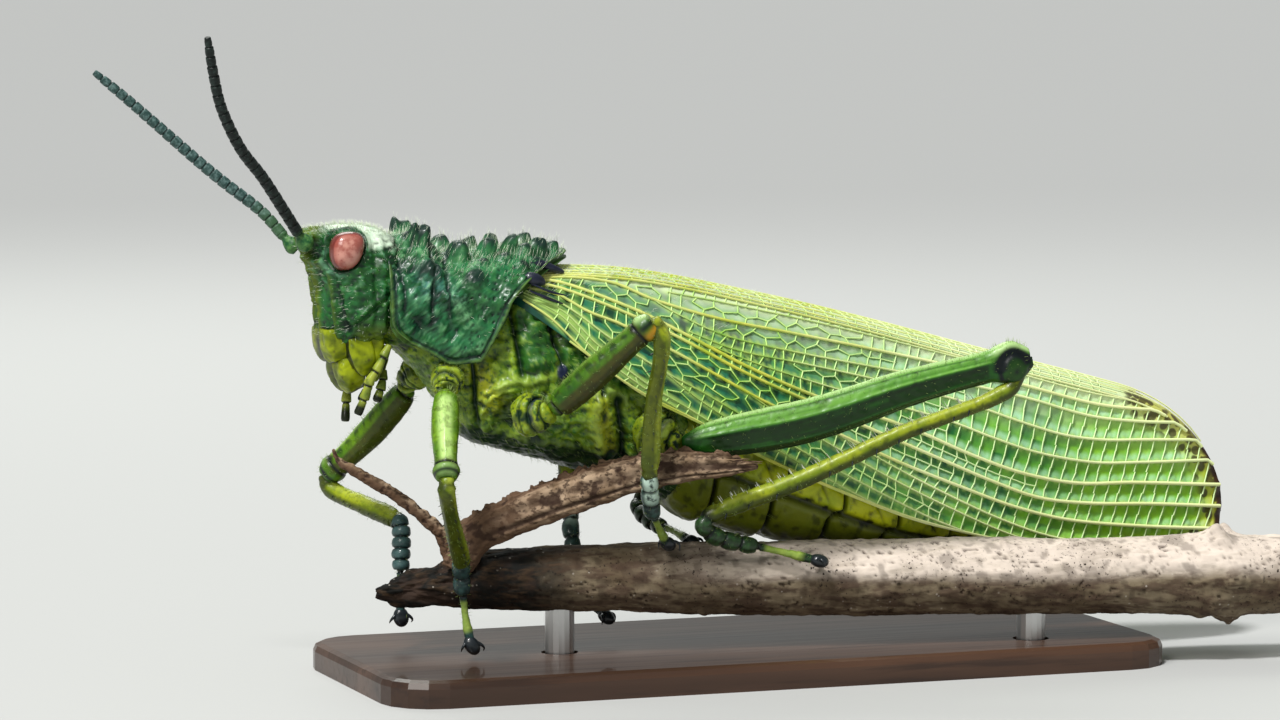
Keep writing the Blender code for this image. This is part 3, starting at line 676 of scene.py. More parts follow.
def makeWing(way, finish, veinPaint, netPaint):
    side = "left" if way < 0 else "right"
    rng = np.random.default_rng(5)
    long = longVeins()
    net, cells = netBetween(long, rng)
    bm, uv = gridMesh(350, 104)
    start, span = wingOf["start"], wingOf["length"] - wingOf["start"]
    along = start + span * 0.9985 * np.sin(uv[:, 0] ** 0.8 * math.pi / 2)
    share = uv[:, 1]
    level = wingLevel(along, share)
    spots = np.stack([along, level], 1)
    longPoints = np.concatenate([path for path, _ in long.values()])
    netPoints = np.concatenate([np.linspace(pair[0], pair[1], 6) for pair in net])
    fromLong, nearest = nearestOf(longPoints, spots)
    # the pleats: a painted highlight, pale where the membrane rises to the vein below it
    above = fade(level - longPoints[nearest, 1], -0.05, 0.1) * (1 - fade(fromLong, 0.45, 0.85))
    fromNet = nearestOf(netPoints, spots)[0]
    tone = np.array([cell[2] for cell in cells])[nearestOf(cells, spots)[1]]
    onBack = share < wingOf["clavus"]
    fromLong[onBack], fromNet[onBack] = 0.5, 0.4
    cell = fade(np.minimum(fromNet, fromLong), 0.04, 0.32)
    lift = -wingOf["flute"] * fade(fromLong, 0.1, 0.8) - 0.06 * cell
    place(bm, wingSpots(along, share, way, lift))
    mark(bm, cell=cell,
         tone=tone,
         # above: painted highlight where the membrane rises in each pleat
         above=above * fade(along, 20, 32),
         crest=1 - fade(fromLong, 0.1, 0.38),
         along=along / 60,
         side=(share - wingOf["clavus"]) / (1 - wingOf["clavus"]))
    onSide = wingLevel(along, np.maximum(share, wingOf["clavus"]))
    rimGap = lineDistance(np.stack([along, onSide], 1), apexLine())
    mark(bm, rim=1 - fade(rimGap, 0.0, 3.2))
    faceOut(bm, lambda face: face.calc_center_median().y * face.normal.y)
    keepSkin(f"wing_{side}", spotsOf(bm), normalsOf(bm), uv)
    thicken(finishPiece(f"forewing_{side}", bm, finish), wingOf["membrane"])
    stout, slender = [], []
    for name, (path, radii) in long.items():
        spots = wingSpots(path[:, 0], wingShare(path[:, 0], path[:, 1]), way, 0.03)
        (stout if name in wingOf["stout"] else slender).append(list(zip(spots, radii)))
    strands(f"veins_{side}", stout + marginVeins(way), veinPaint[0], sides=6)
    strands(f"branches_{side}", slender, veinPaint[1], sides=6)
    lines = []
    for pair in net:
        mid = wingShare(pair[:, 0], pair[:, 1])
        depth = -0.5 * wingOf["flute"] * fade(nearestOf(longPoints, pair)[0], 0.1, 0.8)
        lines.append([(spot, wingOf["netting"]) for spot in wingSpots(pair[:, 0], mid, way, depth)])
    strands(f"netting_{side}", lines + backNetting(way), netPaint, sides=6)


def apexLine():
    # the margin round the tip, in places (along, across)
    above = np.linspace(51, wingOf["rimEnd"], 30)
    below = np.linspace(wingOf["rimEnd"], 52, 24)
    return [*zip(above, wingEdge(wingOf["top"], above)), *zip(below, wingEdge(wingOf["low"], below))]


def marginVeins(way):
    # the veins that run down the back, and the outer rim
    lines = []
    for share, end in wingOf["backVeins"]:
        along = np.linspace(-1.5, end, 50)
        spots = wingSpots(along, np.full(50, share), way, 0.02)
        lines.append([(spot, 0.10 - 0.04 * k / 49) for k, spot in enumerate(spots)])
    along = wingOf["rimEnd"] * np.sin(np.linspace(0.02, 1, 80) * math.pi / 2)
    spots = wingSpots(along, np.full(80, 0.999), way)
    return lines + [[(spot, 0.09) for spot in spots]]


def backNetting(way):
    lines = []
    shares = [share for share, _ in wingOf["backVeins"]] + [wingOf["clavus"]]
    for column, along in enumerate(np.arange(1.5, 47, 0.9)):
        for low, high in zip(shares, shares[1:]):
            pair = np.array([along, along + (0.25 if column % 2 else -0.15)])
            spots = wingSpots(pair, np.array([low, high]), way, 0.02)
            lines.append([(spot, 0.045) for spot in spots])
    return lines


def wingFinish():
    paint = Finish("green tegmen", Roughness=0.4, Coat_Weight=0.2, Coat_Roughness=0.25)
    along, side, tone = paint.mask("along"), paint.mask("side"), paint.mask("tone")
    rim, cell = paint.mask("rim"), paint.mask("cell")
    cloud = paint.grain(0.3, 3)
    fine = paint.grain(2.2, 4)
    mixed = tone * 0.6 + cloud * 0.5
    # the membrane's own green with painted light shining through it: dark teal near the base, brightening to
    # green further out
    near = paint.mix(paint.step(mixed, 0.25, 0.75), (0.002, 0.026, 0.018), (0.016, 0.15, 0.08))
    far = paint.mix(paint.step(mixed, 0.3, 0.8), (0.02, 0.2, 0.03), (0.2, 0.52, 0.02))
    colour = paint.mix(paint.step(along + cloud * 0.3, 0.4, 1.0), near, far)
    # painted sheen: a milky pale wash over the upper part of the side field
    topSheen = paint.step(side + cloud * 0.12, 0.5, 0.06) * paint.step(along, 0.0, 0.2)
    colour = paint.mix(topSheen * (0.5 + tone * 0.5), colour, (0.56, 0.7, 0.46))
    # painted highlight on the rise of each pleat
    pleatHighlight = paint.mask("above") * (0.45 + tone * 0.4) * paint.step(side, 1.0, 0.6)
    colour = paint.over(
        colour,
        (pleatHighlight, (0.42, 0.72, 0.46)),
        # painted light shining through the membrane towards the tip
        (paint.step(along, 0.66, 0.84) * (1 - pleatHighlight) * 0.65, (0.27, 0.56, 0.012)),
        ((1 - cell) * 0.5, (0.16, 0.42, 0.06)),
        (paint.mask("crest") * 0.7, (0.42, 0.6, 0.14)),
        # painted highlight: a pale band along the top of the side field
        (paint.step(side, 0.12, 0.0) * 0.8, (0.7, 0.8, 0.5)),
        (rim * 0.9, (0.5, 0.47, 0.03)),
    )
    spots = paint.step(paint.cells(1.3), 0.58, 0.42) * paint.step(rim, 0.05, 0.4)
    colour = paint.mix(spots * 0.85, colour, (0.03, 0.014, 0.005))
    colour = paint.mix(paint.step(rim, 0.86, 0.95), colour, (0.035, 0.014, 0.005))
    return paint.done(colour, 0.28 + fine * 0.25, fine, 0.00003, 0.6)


def veinFinish(name, deep, bright, pale):
    # paler towards the tip
    paint = Finish(name, Roughness=0.36)
    fine = paint.grain(1.2, 3)
    cloud = paint.grain(0.12, 2)
    colour = paint.mix(paint.step(fine, 0.3, 0.7), deep, bright)
    far = (paint.step(paint.place("X"), -4.0, 20.0) * 0.85 + paint.step(cloud, 0.42, 0.62) * 0.4).clamp()
    colour = paint.mix(far, colour, pale)
    return paint.done(colour, None, fine, 0.00002, 0.4)


def hingeFinish():
    paint = Finish("hinge plates", Roughness=0.3, Coat_Weight=0.3)
    cloud = paint.grain(1.4, 3)
    colour = paint.mix(cloud, (0.002, 0.003, 0.008), (0.014, 0.02, 0.045))
    return paint.done(colour, 0.25 + cloud * 0.3, cloud, 0.00005, 0.5)


def makeHinge(way, finish):
    lines = []
    for route, radius in wingOf["hinge"]:
        path = smoothPath([(x, way * y, z) for x, y, z in route], 12)
        swell = [math.sin(math.pi * (k + 0.6) / 12.2) ** 0.6 for k in range(12)]
        lines.append([(spot, radius * share) for spot, share in zip(path, swell)])
    strands(f"hinge_{'left' if way < 0 else 'right'}", lines, finish, sides=10)


def makeWings():
    membrane = wingFinish()
    netting = veinFinish("netting", (0.3, 0.58, 0.08), (0.6, 0.82, 0.24), (0.66, 0.84, 0.42))
    veins = (veinFinish("stout veins", (0.4, 0.5, 0.04), (0.62, 0.62, 0.08), (0.8, 0.86, 0.42)),
             veinFinish("branch veins", (0.2, 0.42, 0.06), (0.42, 0.56, 0.12), (0.76, 0.85, 0.42)))
    hinge = hingeFinish()
    for way in (-1, 1):
        makeWing(way, membrane, veins, netting)
        makeHinge(way, hinge)
    print("wings made")


headOf = {
    # height: front, back, half width
    "levels": [(18.75, (-32.7, -29.2, 2.9)), (19.6, (-33.1, -28.6, 3.6)), (21.0, (-33.2, -28.1, 3.95)),
               (22.9, (-33.4, -27.8, 3.9)), (24.6, (-33.85, -27.7, 3.6)), (26.0, (-34.3, -27.8, 3.1)),
               (26.75, (-34.0, -28.3, 2.4)), (27.15, (-32.6, -29.6, 1.2))],
    "faceTaper": 0.42,
    "cap": 1.6,                 # the run of rows that closes each end
    # heights, then half widths or places along
    "faceRidge": ([19, 22, 25, 26.3], [0.75, 0.6, 0.5, 0.35]),
    "cheekRidge": ([19, 21, 24], [2.35, 2.3, 2.1]),
    "furrow": ([19.5, 21, 24.2], [-31.85, -32.0, -32.6]),
    "eye": (-31.8, 3.1, 25.5),
    "eyeSize": (1.23, 1.1, 1.4),    # half width, depth and half height
    "eyeTaper": 0.16,           # the eye is narrower below
    "eyeLean": 0.2,
}


def headSpots(u, v):
    # each row is a level section of the head, with its points evenly spaced
    levels = np.linspace(headOf["levels"][0][0], headOf["levels"][-1][0], 200)
    front, back, half = easeMany(headOf["levels"], levels)
    steps = np.sqrt(np.diff(levels) ** 2 + np.diff(half) ** 2 + np.diff(front) ** 2 / 2)
    length = np.concatenate([[0], np.cumsum(steps)])
    cap = headOf["cap"]
    total = length[-1] + 2 * cap
    run = v * total - cap
    level = np.interp(np.clip(run, 0, length[-1]), length, levels)
    shut = np.where(run < 0, 1 + run / cap, np.where(run > length[-1], 1 - (run - length[-1]) / cap, 1.0))
    front, back, half = easeMany(headOf["levels"], level)
    fine = np.linspace(0, 2 * math.pi, 721)
    spots = np.zeros((len(u), 3))
    for row in np.unique(v):
        pick = v == row
        face, nape, width = front[pick][0], back[pick][0], half[pick][0]
        ahead = signedPower(np.cos(fine), 0.8)
        side = signedPower(np.sin(fine), 0.8) * width
        # the face narrows ahead, and the nape is nearly square
        side = np.where(ahead > 0, side * (1 - headOf["faceTaper"] * np.abs(ahead) ** 1.5),
                        np.sign(side) * width * np.clip(1 - np.abs(ahead) ** 6, 0, 1) ** (1 / 6))
        x = (face + nape) / 2 - ahead * (nape - face) / 2
        way = np.concatenate([[0], np.cumsum(np.hypot(np.diff(x), np.diff(side)))])
        at = u[pick] * way[-1]
        spots[pick, 0] = np.interp(at, way, x)
        spots[pick, 1] = np.interp(at, way, side)
    middle = (front + back) / 2
    spots[:, 0] = middle + (spots[:, 0] - middle) * shut
    spots[:, 1] *= shut
    spots[:, 2] = level + np.where(run < 0, -0.25, 0.12) * np.sqrt(np.clip(1 - shut ** 2, 0, 1))
    return spots


def eyeDistance(x, side, z):
    # 1 on the eye's outline, and far off on the crown and the face
    ex, _, ez = headOf["eye"]
    rx, _, rz = headOf["eyeSize"]
    high = np.clip((z - ez) / rz, -1.6, 1.6)
    aside = (x - ex - headOf["eyeLean"] * high) / (rx * (1 + headOf["eyeTaper"] * high))
    return np.where(side > 1.4, (np.abs(aside) ** 2.2 + np.abs(high) ** 2.2) ** (1 / 2.2), 9.0)


def makeHead(finish):
    bm, uv, points, flat, away = closedSkin(240, 170, headSpots)
    x, y, z = flat.T
    side = np.abs(y)
    fromEye = eyeDistance(x, side, z)
    front = fade(-x, 32.6, 33.4)
    push = 0.13 * bump(fromEye, 1.17, 0.12) - 0.5 * (1 - fade(fromEye, 0.85, 1.06))
    # ledge of the brow, hollows round the feelers, double ridge down the face
    ledge = bump(z, 26.45, 0.35) * (1 - fade(side, 1.1, 1.9)) * fade(-x, 31.8, 33.4)
    push += 0.3 * ledge
    socket = np.hypot(side - 1.35, z - 25.55)
    push += front * (-0.35 * (1 - fade(socket, 0.55, 0.95)) + 0.12 * bump(socket, 1.05, 0.2))
    costa = bump(side, np.interp(z, *headOf["faceRidge"]), 0.16) * front * fade(z, 18.9, 19.6)
    push += 0.2 * costa - 0.12 * bump(side, 0, 0.22) * front * (1 - fade(z, 25.6, 26.4))
    dot = np.hypot(side - 1.55, z - 24.55)
    push += 0.22 * bump(dot, 0, 0.33) * front
    carina = bump(side, np.interp(z, *headOf["cheekRidge"]),
                  0.14) * fade(-x, 31.6, 32.4) * (1 - fade(z, 23.8, 24.6))
    push += 0.16 * carina
    # furrow from the eye down to the jaw, with a fold behind it
    onSide = fade(side, 2.2, 2.8)
    furrowAt = np.interp(z, *headOf["furrow"])
    below = 1 - fade(z, 23.9, 24.4)
    furrow = bump(x, furrowAt, 0.13) * below * onSide
    push += -0.16 * furrow + 0.12 * bump(x, furrowAt + 0.35, 0.22) * below * onSide
    pit = np.hypot(x + 31.85, z - 19.9)
    pitMask = (1 - fade(pit, 0.2, 0.6)) * onSide
    push += -0.3 * pitMask
    # hind margin of the cheek and a shallow arch over it
    push += 0.14 * bump(x, -29.15, 0.25) * onSide - 0.12 * bump(x, -29.75, 0.22) * onSide
    # a ridge climbs from the jaw to the back of the head
    jaw = bump(z - 20.1 - 0.85 * (x + 31.8), 0, 0.3) * within(x, -31.6, -31.1, -29.6, -29.0) * onSide
    push += 0.26 * jaw - 0.2 * bump(z - 19.6 - 0.85 * (x + 31.8), 0, 0.22) * fade(x, -31.4, -31.0) * onSide
    folds = grainAt(flat, 0.9, 1.0, 2)
    wrinkle = grainAt(flat * np.array([1.0, 1.0, 1.7]), 0.55, 2.0, 3)
    pitted = 1 - fade(cellsAt(flat, 0.42, 6.0), 0.05, 0.17)
    calm = fade(fromEye, 1.0, 1.25) * (1 - 0.5 * fade(z, 25.8, 26.8))
    push += calm * (0.15 * folds + 0.075 * wrinkle - 0.03 * pitted)
    flat = pushOut(bm, flat, away, push)
    lowCheek = bump(z, 19.1, 0.9) * fade(x, -31.6, -30.6) * onSide
    # pale: painted highlight on the crown and behind the eye
    mark(bm, pale=fade(z, 24.9, 26.6) * fade(fromEye, 1.1, 1.35) * (1 - 0.8 * ledge)
         * fade(x, -33.2, -31.8),
         olive=(costa * 0.9 + 0.8 * lowCheek + 0.9 * bump(dot, 0, 0.35) * front + ledge + carina * 0.4
                + front * (1 - fade(side, 0.7, 1.2)) * 0.6),
         # dark: painted shade in the furrow and the pit, round the eye, in the feelers' sockets, in the
         # troughs of the wrinkles and in the pits, and at the nape under the pronotum's edge
         dark=furrow * 0.7 + pitMask + 0.8 * bump(fromEye, 1.08, 0.07)
         + 0.5 * front * (1 - fade(socket, 0.5, 0.9)) - wrinkle * 1.3 * calm + 0.3 * pitted * calm
         + 0.5 * (1 - fade(x, -28.3, -28.9)),
         # the pale rim under the eye is the head's own, the pale tops of the wrinkles are painted highlight
         pearl=0.9 * bump(fromEye, 1.27, 0.12) * (1 - fade(z, 24.6, 25.6)) * fade(-x, 31.5, 32.3)
         + 0.5 * fade(wrinkle, 0.2, 0.5) * fade(z, 21.5, 24.5))
    keepSkin("head", flat, away, uv, points)
    finishPiece("head", bm, finish, welded=True)


def headFinish():
    paint = Finish("head shell", Roughness=0.33, Coat_Weight=0.1, Coat_Roughness=0.2)
    fine = paint.grain(1.6, 4)
    cloud = paint.grain(0.55, 3)
    speck = paint.cells(1.9)
    colour = paint.over(
        paint.mix(paint.step(cloud, 0.35, 0.65), (0.004, 0.046, 0.006), (0.011, 0.1, 0.022)),
        (paint.step(fine, 0.45, 0.7) * 0.5, (0.03, 0.16, 0.012)),
        (paint.mask("olive"), (0.1, 0.15, 0.008)),
        # painted highlight on the crown
        (paint.step(fine * 0.8 + paint.mask("pale"), 0.55, 1.1) * 0.9, (0.6, 0.72, 0.56)),
        # the head's own pale rim under the eye, and painted highlight on the tops of the wrinkles
        (paint.mask("pearl") * 0.6, (0.16, 0.38, 0.24)),
        (paint.step(speck, 0.14, 0.05) * 0.6, (0.4, 0.55, 0.32)),
        # painted shade in the head's hollows, round the eye and at the nape
        (paint.mask("dark"), (0.003, 0.016, 0.008)),
    )
    return paint.done(colour, 0.3 + fine * 0.3, fine, 0.00006, 0.5)


def makeEye(name, way, finish):
    ex, ey, ez = headOf["eye"]
    rx, ry, rz = headOf["eyeSize"]
    bm = bmesh.new()
    bmesh.ops.create_uvsphere(bm, u_segments=96, v_segments=64, radius=1.0)
    spots = spotsOf(bm)
    # a rounded egg, wider above; its outline is a little square
    ring = np.maximum(np.hypot(spots[:, 0], spots[:, 2]), 1e-6)
    square = ring / np.maximum((np.abs(spots[:, 0]) ** 2.4 + np.abs(spots[:, 2]) ** 2.4) ** (1 / 2.4), 1e-6)
    aside, high = spots[:, 0] * square, spots[:, 2] * square
    mark(bm, rim=fade(ring, 0.55, 0.95))
    out = signedPower(spots[:, 1], 0.85) * ry
    x = ex + headOf["eyeLean"] * high + rx * aside * (1 + headOf["eyeTaper"] * high)
    place(bm, np.stack([x, way * ey + out, ez + rz * high], 1))
    finishPiece(name, bm, finish)


def eyeFinish():
    paint = Finish("eye", Roughness=0.22, Coat_Weight=0.4, Coat_Roughness=0.12)
    cloud = paint.grain(1.1, 3)
    facets = paint.cells(9.0)
    colour = paint.over(
        paint.mix(paint.step(cloud, 0.38, 0.64), (0.3, 0.085, 0.065), (0.52, 0.24, 0.19)),
        # painted shade: deeper red towards the rim and near black at the very edge, which leaves the middle
        # lighter as a painted highlight; the small dark mottles of the next layer are the eye's own
        (paint.mask("rim") * 0.7, (0.27, 0.05, 0.035)),
        (paint.step(paint.cells(2.6), 0.17, 0.08) * 0.55, (0.16, 0.02, 0.02)),
        (paint.step(paint.mask("rim"), 0.9, 1.0) * 0.7, (0.08, 0.01, 0.01)),
    )
    return paint.done(colour, 0.2 + cloud * 0.15, facets, 0.00002, 0.35)


feelerOf = {
    "joints": 24,
    "left": [(-34.15, -1.35, 25.7), (-34.9, -1.7, 26.6), (-36.2, -2.6, 28.3), (-38.3, -4.0, 31.0),
             (-40.3, -5.3, 33.2), (-42.0, -6.6, 36.1), (-42.8, -7.5, 38.5), (-43.5, -8.5, 41.2)],
    "right": [(-34.15, 1.35, 25.4), (-34.9, 1.7, 26.1), (-36.5, 2.6, 28.1), (-39.0, 3.6, 30.2),
              (-40.7, 4.3, 31.7), (-43.5, 5.2, 34.3), (-45.9, 5.9, 36.5), (-48.1, 6.5, 38.4)],
    "sizes": [(0, (0.6, 0.6)), (0.025, (0.72, 0.72)), (0.05, (0.5, 0.5)), (0.065, (0.33, 0.33)),
              (0.08, (0.43, 0.43)),
              (0.1, (0.39, 0.39)), (0.35, (0.39, 0.39)), (0.7, (0.36, 0.36)), (0.93, (0.3, 0.3)),
              (1, (0.2, 0.2))],
}


def makeFeeler(name, finish):
    joints = feelerOf["joints"]

    def shape(u, v):
        return tubeSpots(feelerOf[name], feelerOf["sizes"], u, v, ends=14.0)
    bm, uv, _, flat, away = closedSkin(16, 520, shape)
    v = uv[:, 1]
    phase = np.clip((v - 0.085) / 0.915, 0, 1) * joints
    inside = phase % 1.0
    seam = np.where(v > 0.085, np.minimum(inside, 1 - inside), 0.5)
    groove = 1 - fade(seam, 0.0, 0.1)
    swell = 0.045 * np.sin(math.pi * np.clip(inside, 0, 1)) * (v > 0.085)
    push = swell + 0.03 * fade(inside, 0.62, 0.85) * (v > 0.085) - 0.09 * groove
    push += 0.012 * grainAt(flat, 0.2, 3.0, 2)
    pushOut(bm, flat, away, push)
    mark(bm, groove=groove,
         foot=1 - fade(v, 0.045, 0.1),
         green=1 - fade(v, 0.1, 0.3) if name == "right" else 0 * v)
    finishPiece(f"antenna_{name}", bm, finish, welded=True)


def feelerFinish(name, base, sheen):
    paint = Finish(name, Roughness=0.4)
    fine = paint.grain(3.0, 3)
    colour = paint.over(
        paint.mix(paint.step(fine, 0.4, 0.75), base, sheen),
        (paint.mask("green") * 0.5, (0.06, 0.14, 0.04)),
        (paint.mask("foot"),
         paint.mix(paint.step(fine, 0.35, 0.65), (0.01, 0.07, 0.02), (0.08, 0.2, 0.05))),
        (paint.mask("groove") * 0.85, (0.002, 0.003, 0.003)),
    )
    return paint.done(colour, 0.3 + fine * 0.3, fine, 0.00003, 0.5)


mouthOf = {
    # route, half sizes by share of the length
    "clypeus": ([(-32.25, 0, 19.85), (-32.1, 0, 18.5), (-31.8, 0, 17.4)],
                [(0, (2.25, 0.85)), (0.4, (2.3, 0.92)), (0.8, (2.1, 0.85)), (1, (1.8, 0.6))]),
    "labrum": ([(-31.3, 0, 17.75), (-31.0, 0, 16.5), (-30.5, 0, 15.15)],
               [(0, (1.9, 0.8)), (0.35, (2.15, 1.0)), (0.75, (1.9, 0.92)), (1, (1.3, 0.6))]),
    "mandible": ([(-30.75, -2.1, 19.5), (-30.6, -2.35, 18.3), (-30.0, -2.15, 16.4)],
                 [(0, (0.75, 0.75)), (0.35, (0.98, 0.85)), (0.7, (0.9, 0.85)), (1, (0.5, 0.5))]),
    "maxilla": ([(-29.5, -2.2, 19.2), (-29.45, -2.3, 17.6), (-29.5, -1.7, 15.9)],
                [(0, (0.6, 0.7)), (0.5, (0.6, 0.75)), (1, (0.35, 0.45))]),
    "chin": ([(-28.6, 0, 18.4), (-28.75, 0, 17.2), (-29.0, 0, 15.9)],
             [(0, (1.5, 0.6)), (0.5, (1.7, 0.6)), (1, (1.1, 0.4))]),
}


def plate(name, finish, route, sizes, replaced=None, hint=Vector((-1, 0, 0)), groove=0.0):
    def shape(u, v):
        return tubeSpots(route, sizes, u, evenEnds(v), power=4.6, hint=hint, ends=13.0)
    bm, uv, _, flat, away = closedSkin(72, 60, shape)
    folds = grainAt(flat, 0.7, 5.0, 3)
    v = uv[:, 1]
    middle = sum(p[1] for p in route) / len(route)
    line = bump(flat[:, 1], middle, 0.12) * fade(v, 0.1, 0.45)
    push = 0.07 * folds - groove * line
    if groove:
        push += 0.1 * bump(np.abs(flat[:, 1] - middle), 0.75, 0.45)
    pushOut(bm, flat, away, push)
    angle = uv[:, 0] * 2 * math.pi
    edge = fade(-np.sin(angle), 0.5, 0.85) if groove else fade(np.abs(np.cos(angle)), 0.86, 0.97)
    # dark: painted shade at the ends and edges where the plates meet their neighbours, in the middle groove
    # and in the troughs of the folds
    mark(bm, dark=line * (groove > 0) * 0.8 + (1 - fade(v, 0.0, 0.1)) + 0.8 * fade(v, 0.9, 0.98)
         + 0.9 * edge - 1.2 * np.minimum(folds + 0.1, 0) * 0.6)
    finishPiece(name, bm, finish, replaced, welded=True)


def makeMouth(finish, palpFinish):
    plate("clypeus", finish, *mouthOf["clypeus"], groove=0.05)
    plate("labrum", finish, *mouthOf["labrum"], groove=0.22)
    for part, replaced in (("mandible", ["mandibles"]), ("maxilla", None)):
        route, sizes = mouthOf[part]
        for side, way in (("left", 1), ("right", -1)):
            sideRoute = [(x, way * y, z) for x, y, z in route]
            plate(f"{part}_{side}", finish, sideRoute, sizes, replaced, hint=Vector((0, -way, 0)))
    plate("chin", finish, *mouthOf["chin"], hint=Vector((1, 0, 0)))
    for name, route in palpRoutes.items():
        makePalp(name, route, palpFinish)


palpRoutes = {
    "palp_maxillary_left": [(-28.6, -3.2, 18.6), (-29.2, -3.45, 17.6), (-29.65, -3.4, 16.75),
                            (-30.1, -3.3, 16.05), (-30.4, -3.1, 14.95), (-30.95, -2.9, 13.55)],
    "palp_maxillary_right": [(-28.6, 3.2, 18.6), (-29.3, 3.5, 17.3), (-29.8, 3.1, 15.7),
                             (-30.2, 2.4, 14.5), (-30.4, 2.0, 13.4), (-30.5, 1.8, 12.6)],
    "palp_labial_left": [(-28.45, -1.3, 16.6), (-28.75, -1.7, 15.5), (-29.2, -1.95, 14.4)],
    "palp_labial_right": [(-28.45, 1.3, 16.6), (-28.75, 1.5, 15.4), (-29.3, 1.6, 14.1)],
}


def makePalp(name, route, finish):
    joints = 5 if "maxillary" in name else 3
    sizes = [(0, (0.26, 0.26)), (0.5, (0.3, 0.3)), (0.85, (0.29, 0.29)), (1, (0.25, 0.25))]

    def shape(u, v):
        return tubeSpots(route, sizes, u, v, ends=12.0)
    bm, uv, _, flat, away = closedSkin(18, 90, shape)
    v = uv[:, 1]
    inside = (v * joints) % 1.0
    middle = (v > 0.5 / joints) * (v < 1 - 0.5 / joints)
    groove = (1 - fade(np.minimum(inside, 1 - inside), 0, 0.12)) * middle
    push = 0.09 * fade(inside, 0.1, 0.95) * (1 - groove) - 0.07 * groove
    pushOut(bm, flat, away, push)
    mark(bm, dark=groove + fade(v, 0.8, 0.95))
    finishPiece(name, bm, finish, welded=True)


def yellowFinish(name, deep, bright):
    paint = Finish(name, Roughness=0.35, Coat_Weight=0.08)
    fine = paint.grain(1.5, 4)
    cloud = paint.grain(0.7, 2)
    colour = paint.over(
        paint.mix(paint.step(cloud, 0.35, 0.65), deep, bright),
        (paint.step(fine, 0.58, 0.75) * 0.5, tuple(0.35 * c for c in deep)),
        (paint.step(paint.cells(1.3), 0.2, 0.08) * 0.5, (0.05, 0.03, 0.004)),
        # on the mouth plates this is painted shade between them and in their folds; on the palps it is their
        # own dark joints and tips
        (paint.mask("dark") * 1.3, (0.008, 0.012, 0.003)),
    )
    return paint.done(colour, 0.28 + fine * 0.25, fine, 0.00004, 0.5)


def makeFace():
    makeHead(headFinish())
    eyes = eyeFinish()
    makeEye("eye_left", -1, eyes)
    makeEye("eye_right", 1, eyes)
    # both feelers are black; the far one's blue grey is painted sheen
    makeFeeler("left", feelerFinish("feeler black", (0.004, 0.008, 0.007), (0.02, 0.035, 0.03)))
    makeFeeler("right", feelerFinish("feeler painted grey sheen", (0.02, 0.05, 0.045), (0.10, 0.17, 0.16)))
    makeMouth(yellowFinish("mouth yellow", (0.1, 0.14, 0.001), (0.28, 0.34, 0.002)),
              yellowFinish("palp green", (0.08, 0.13, 0.012), (0.3, 0.35, 0.04)))
    print("head made")


pronotumOf = {
    "axis": 21.5,
    "reach": 130.0,
    "thick": 0.5,
    "tuck": 0.4,                # how much the side lobes turn in below the axis
    # place along: crown height, half width, reach below the axis
    "shape": [(-28.8, (4.85, 4.4, 3.6)), (-27.2, (4.7, 4.7, 4.2)), (-25.2, (4.65, 4.8, 5.8)),
              (-24.5, (3.9, 4.75, 6.5)),
              (-23.8, (3.5, 4.95, 6.6)), (-21.8, (3.6, 5.4, 6.3)), (-19.3, (3.7, 5.5, 6.0)),
              (-16.5, (3.75, 5.2, 5.5)),
              (-13.9, (3.55, 4.4, 5.0))],
    "front": [(0, -28.45), (45, -28.75), (100, -28.8), (118, -28.4), (130, -27.2)],
    "rear": [(0, -14.0), (20, -14.5), (45, -16.6), (74, -19.0), (100, -20.5), (130, -22.1)],
    # place along, angle from the crown, height, base radius
    "knobs": [(-28.1, 22, 0.5, 0.42), (-26.7, 22, 0.58, 0.6), (-25.75, 25, 0.95, 0.6),
              (-22.8, 24, 1.4, 0.8),
              (-20.6, 24, 1.3, 0.6), (-18.9, 22, 1.35, 0.52), (-17.8, 27, 0.7, 0.5), (-16.5, 20, 1.05, 0.6),
              (-15.2, 12, 0.65, 0.42), (-25.5, 58, 0.35, 0.8), (-22.3, 60, 0.3, 0.8),
              (-21.5, 42, 0.35, 0.45),
              (-19.7, 36, 0.4, 0.4), (-18.4, 46, 0.3, 0.4), (-17.2, 38, 0.35, 0.4)],
    "hump": 0.5,                # the block that joins the knobs ahead of the saddle
    "knobSlope": (1.7, 0.85),   # how far a knob runs out ahead and behind
    "furrows": [(-28.05, 0.12, 0.2), (-25.5, 0.2, 0.24), (-24.3, 0.12, 0.2)],
}


def pronotumSpots(x, angle):
    crown, half, low = easeMany(pronotumOf["shape"], x)
    upper = np.abs(angle) < math.pi / 2
    rise = np.where(upper, crown, low)
    flat = signedPower(np.cos(angle), 0.92)
    side = np.sin(angle)
    side = np.where(upper, side, np.sign(side) * (1 - pronotumOf["tuck"] * (1 - np.abs(side))))
    return np.stack([x, half * side, pronotumOf["axis"] + rise * flat], 1)


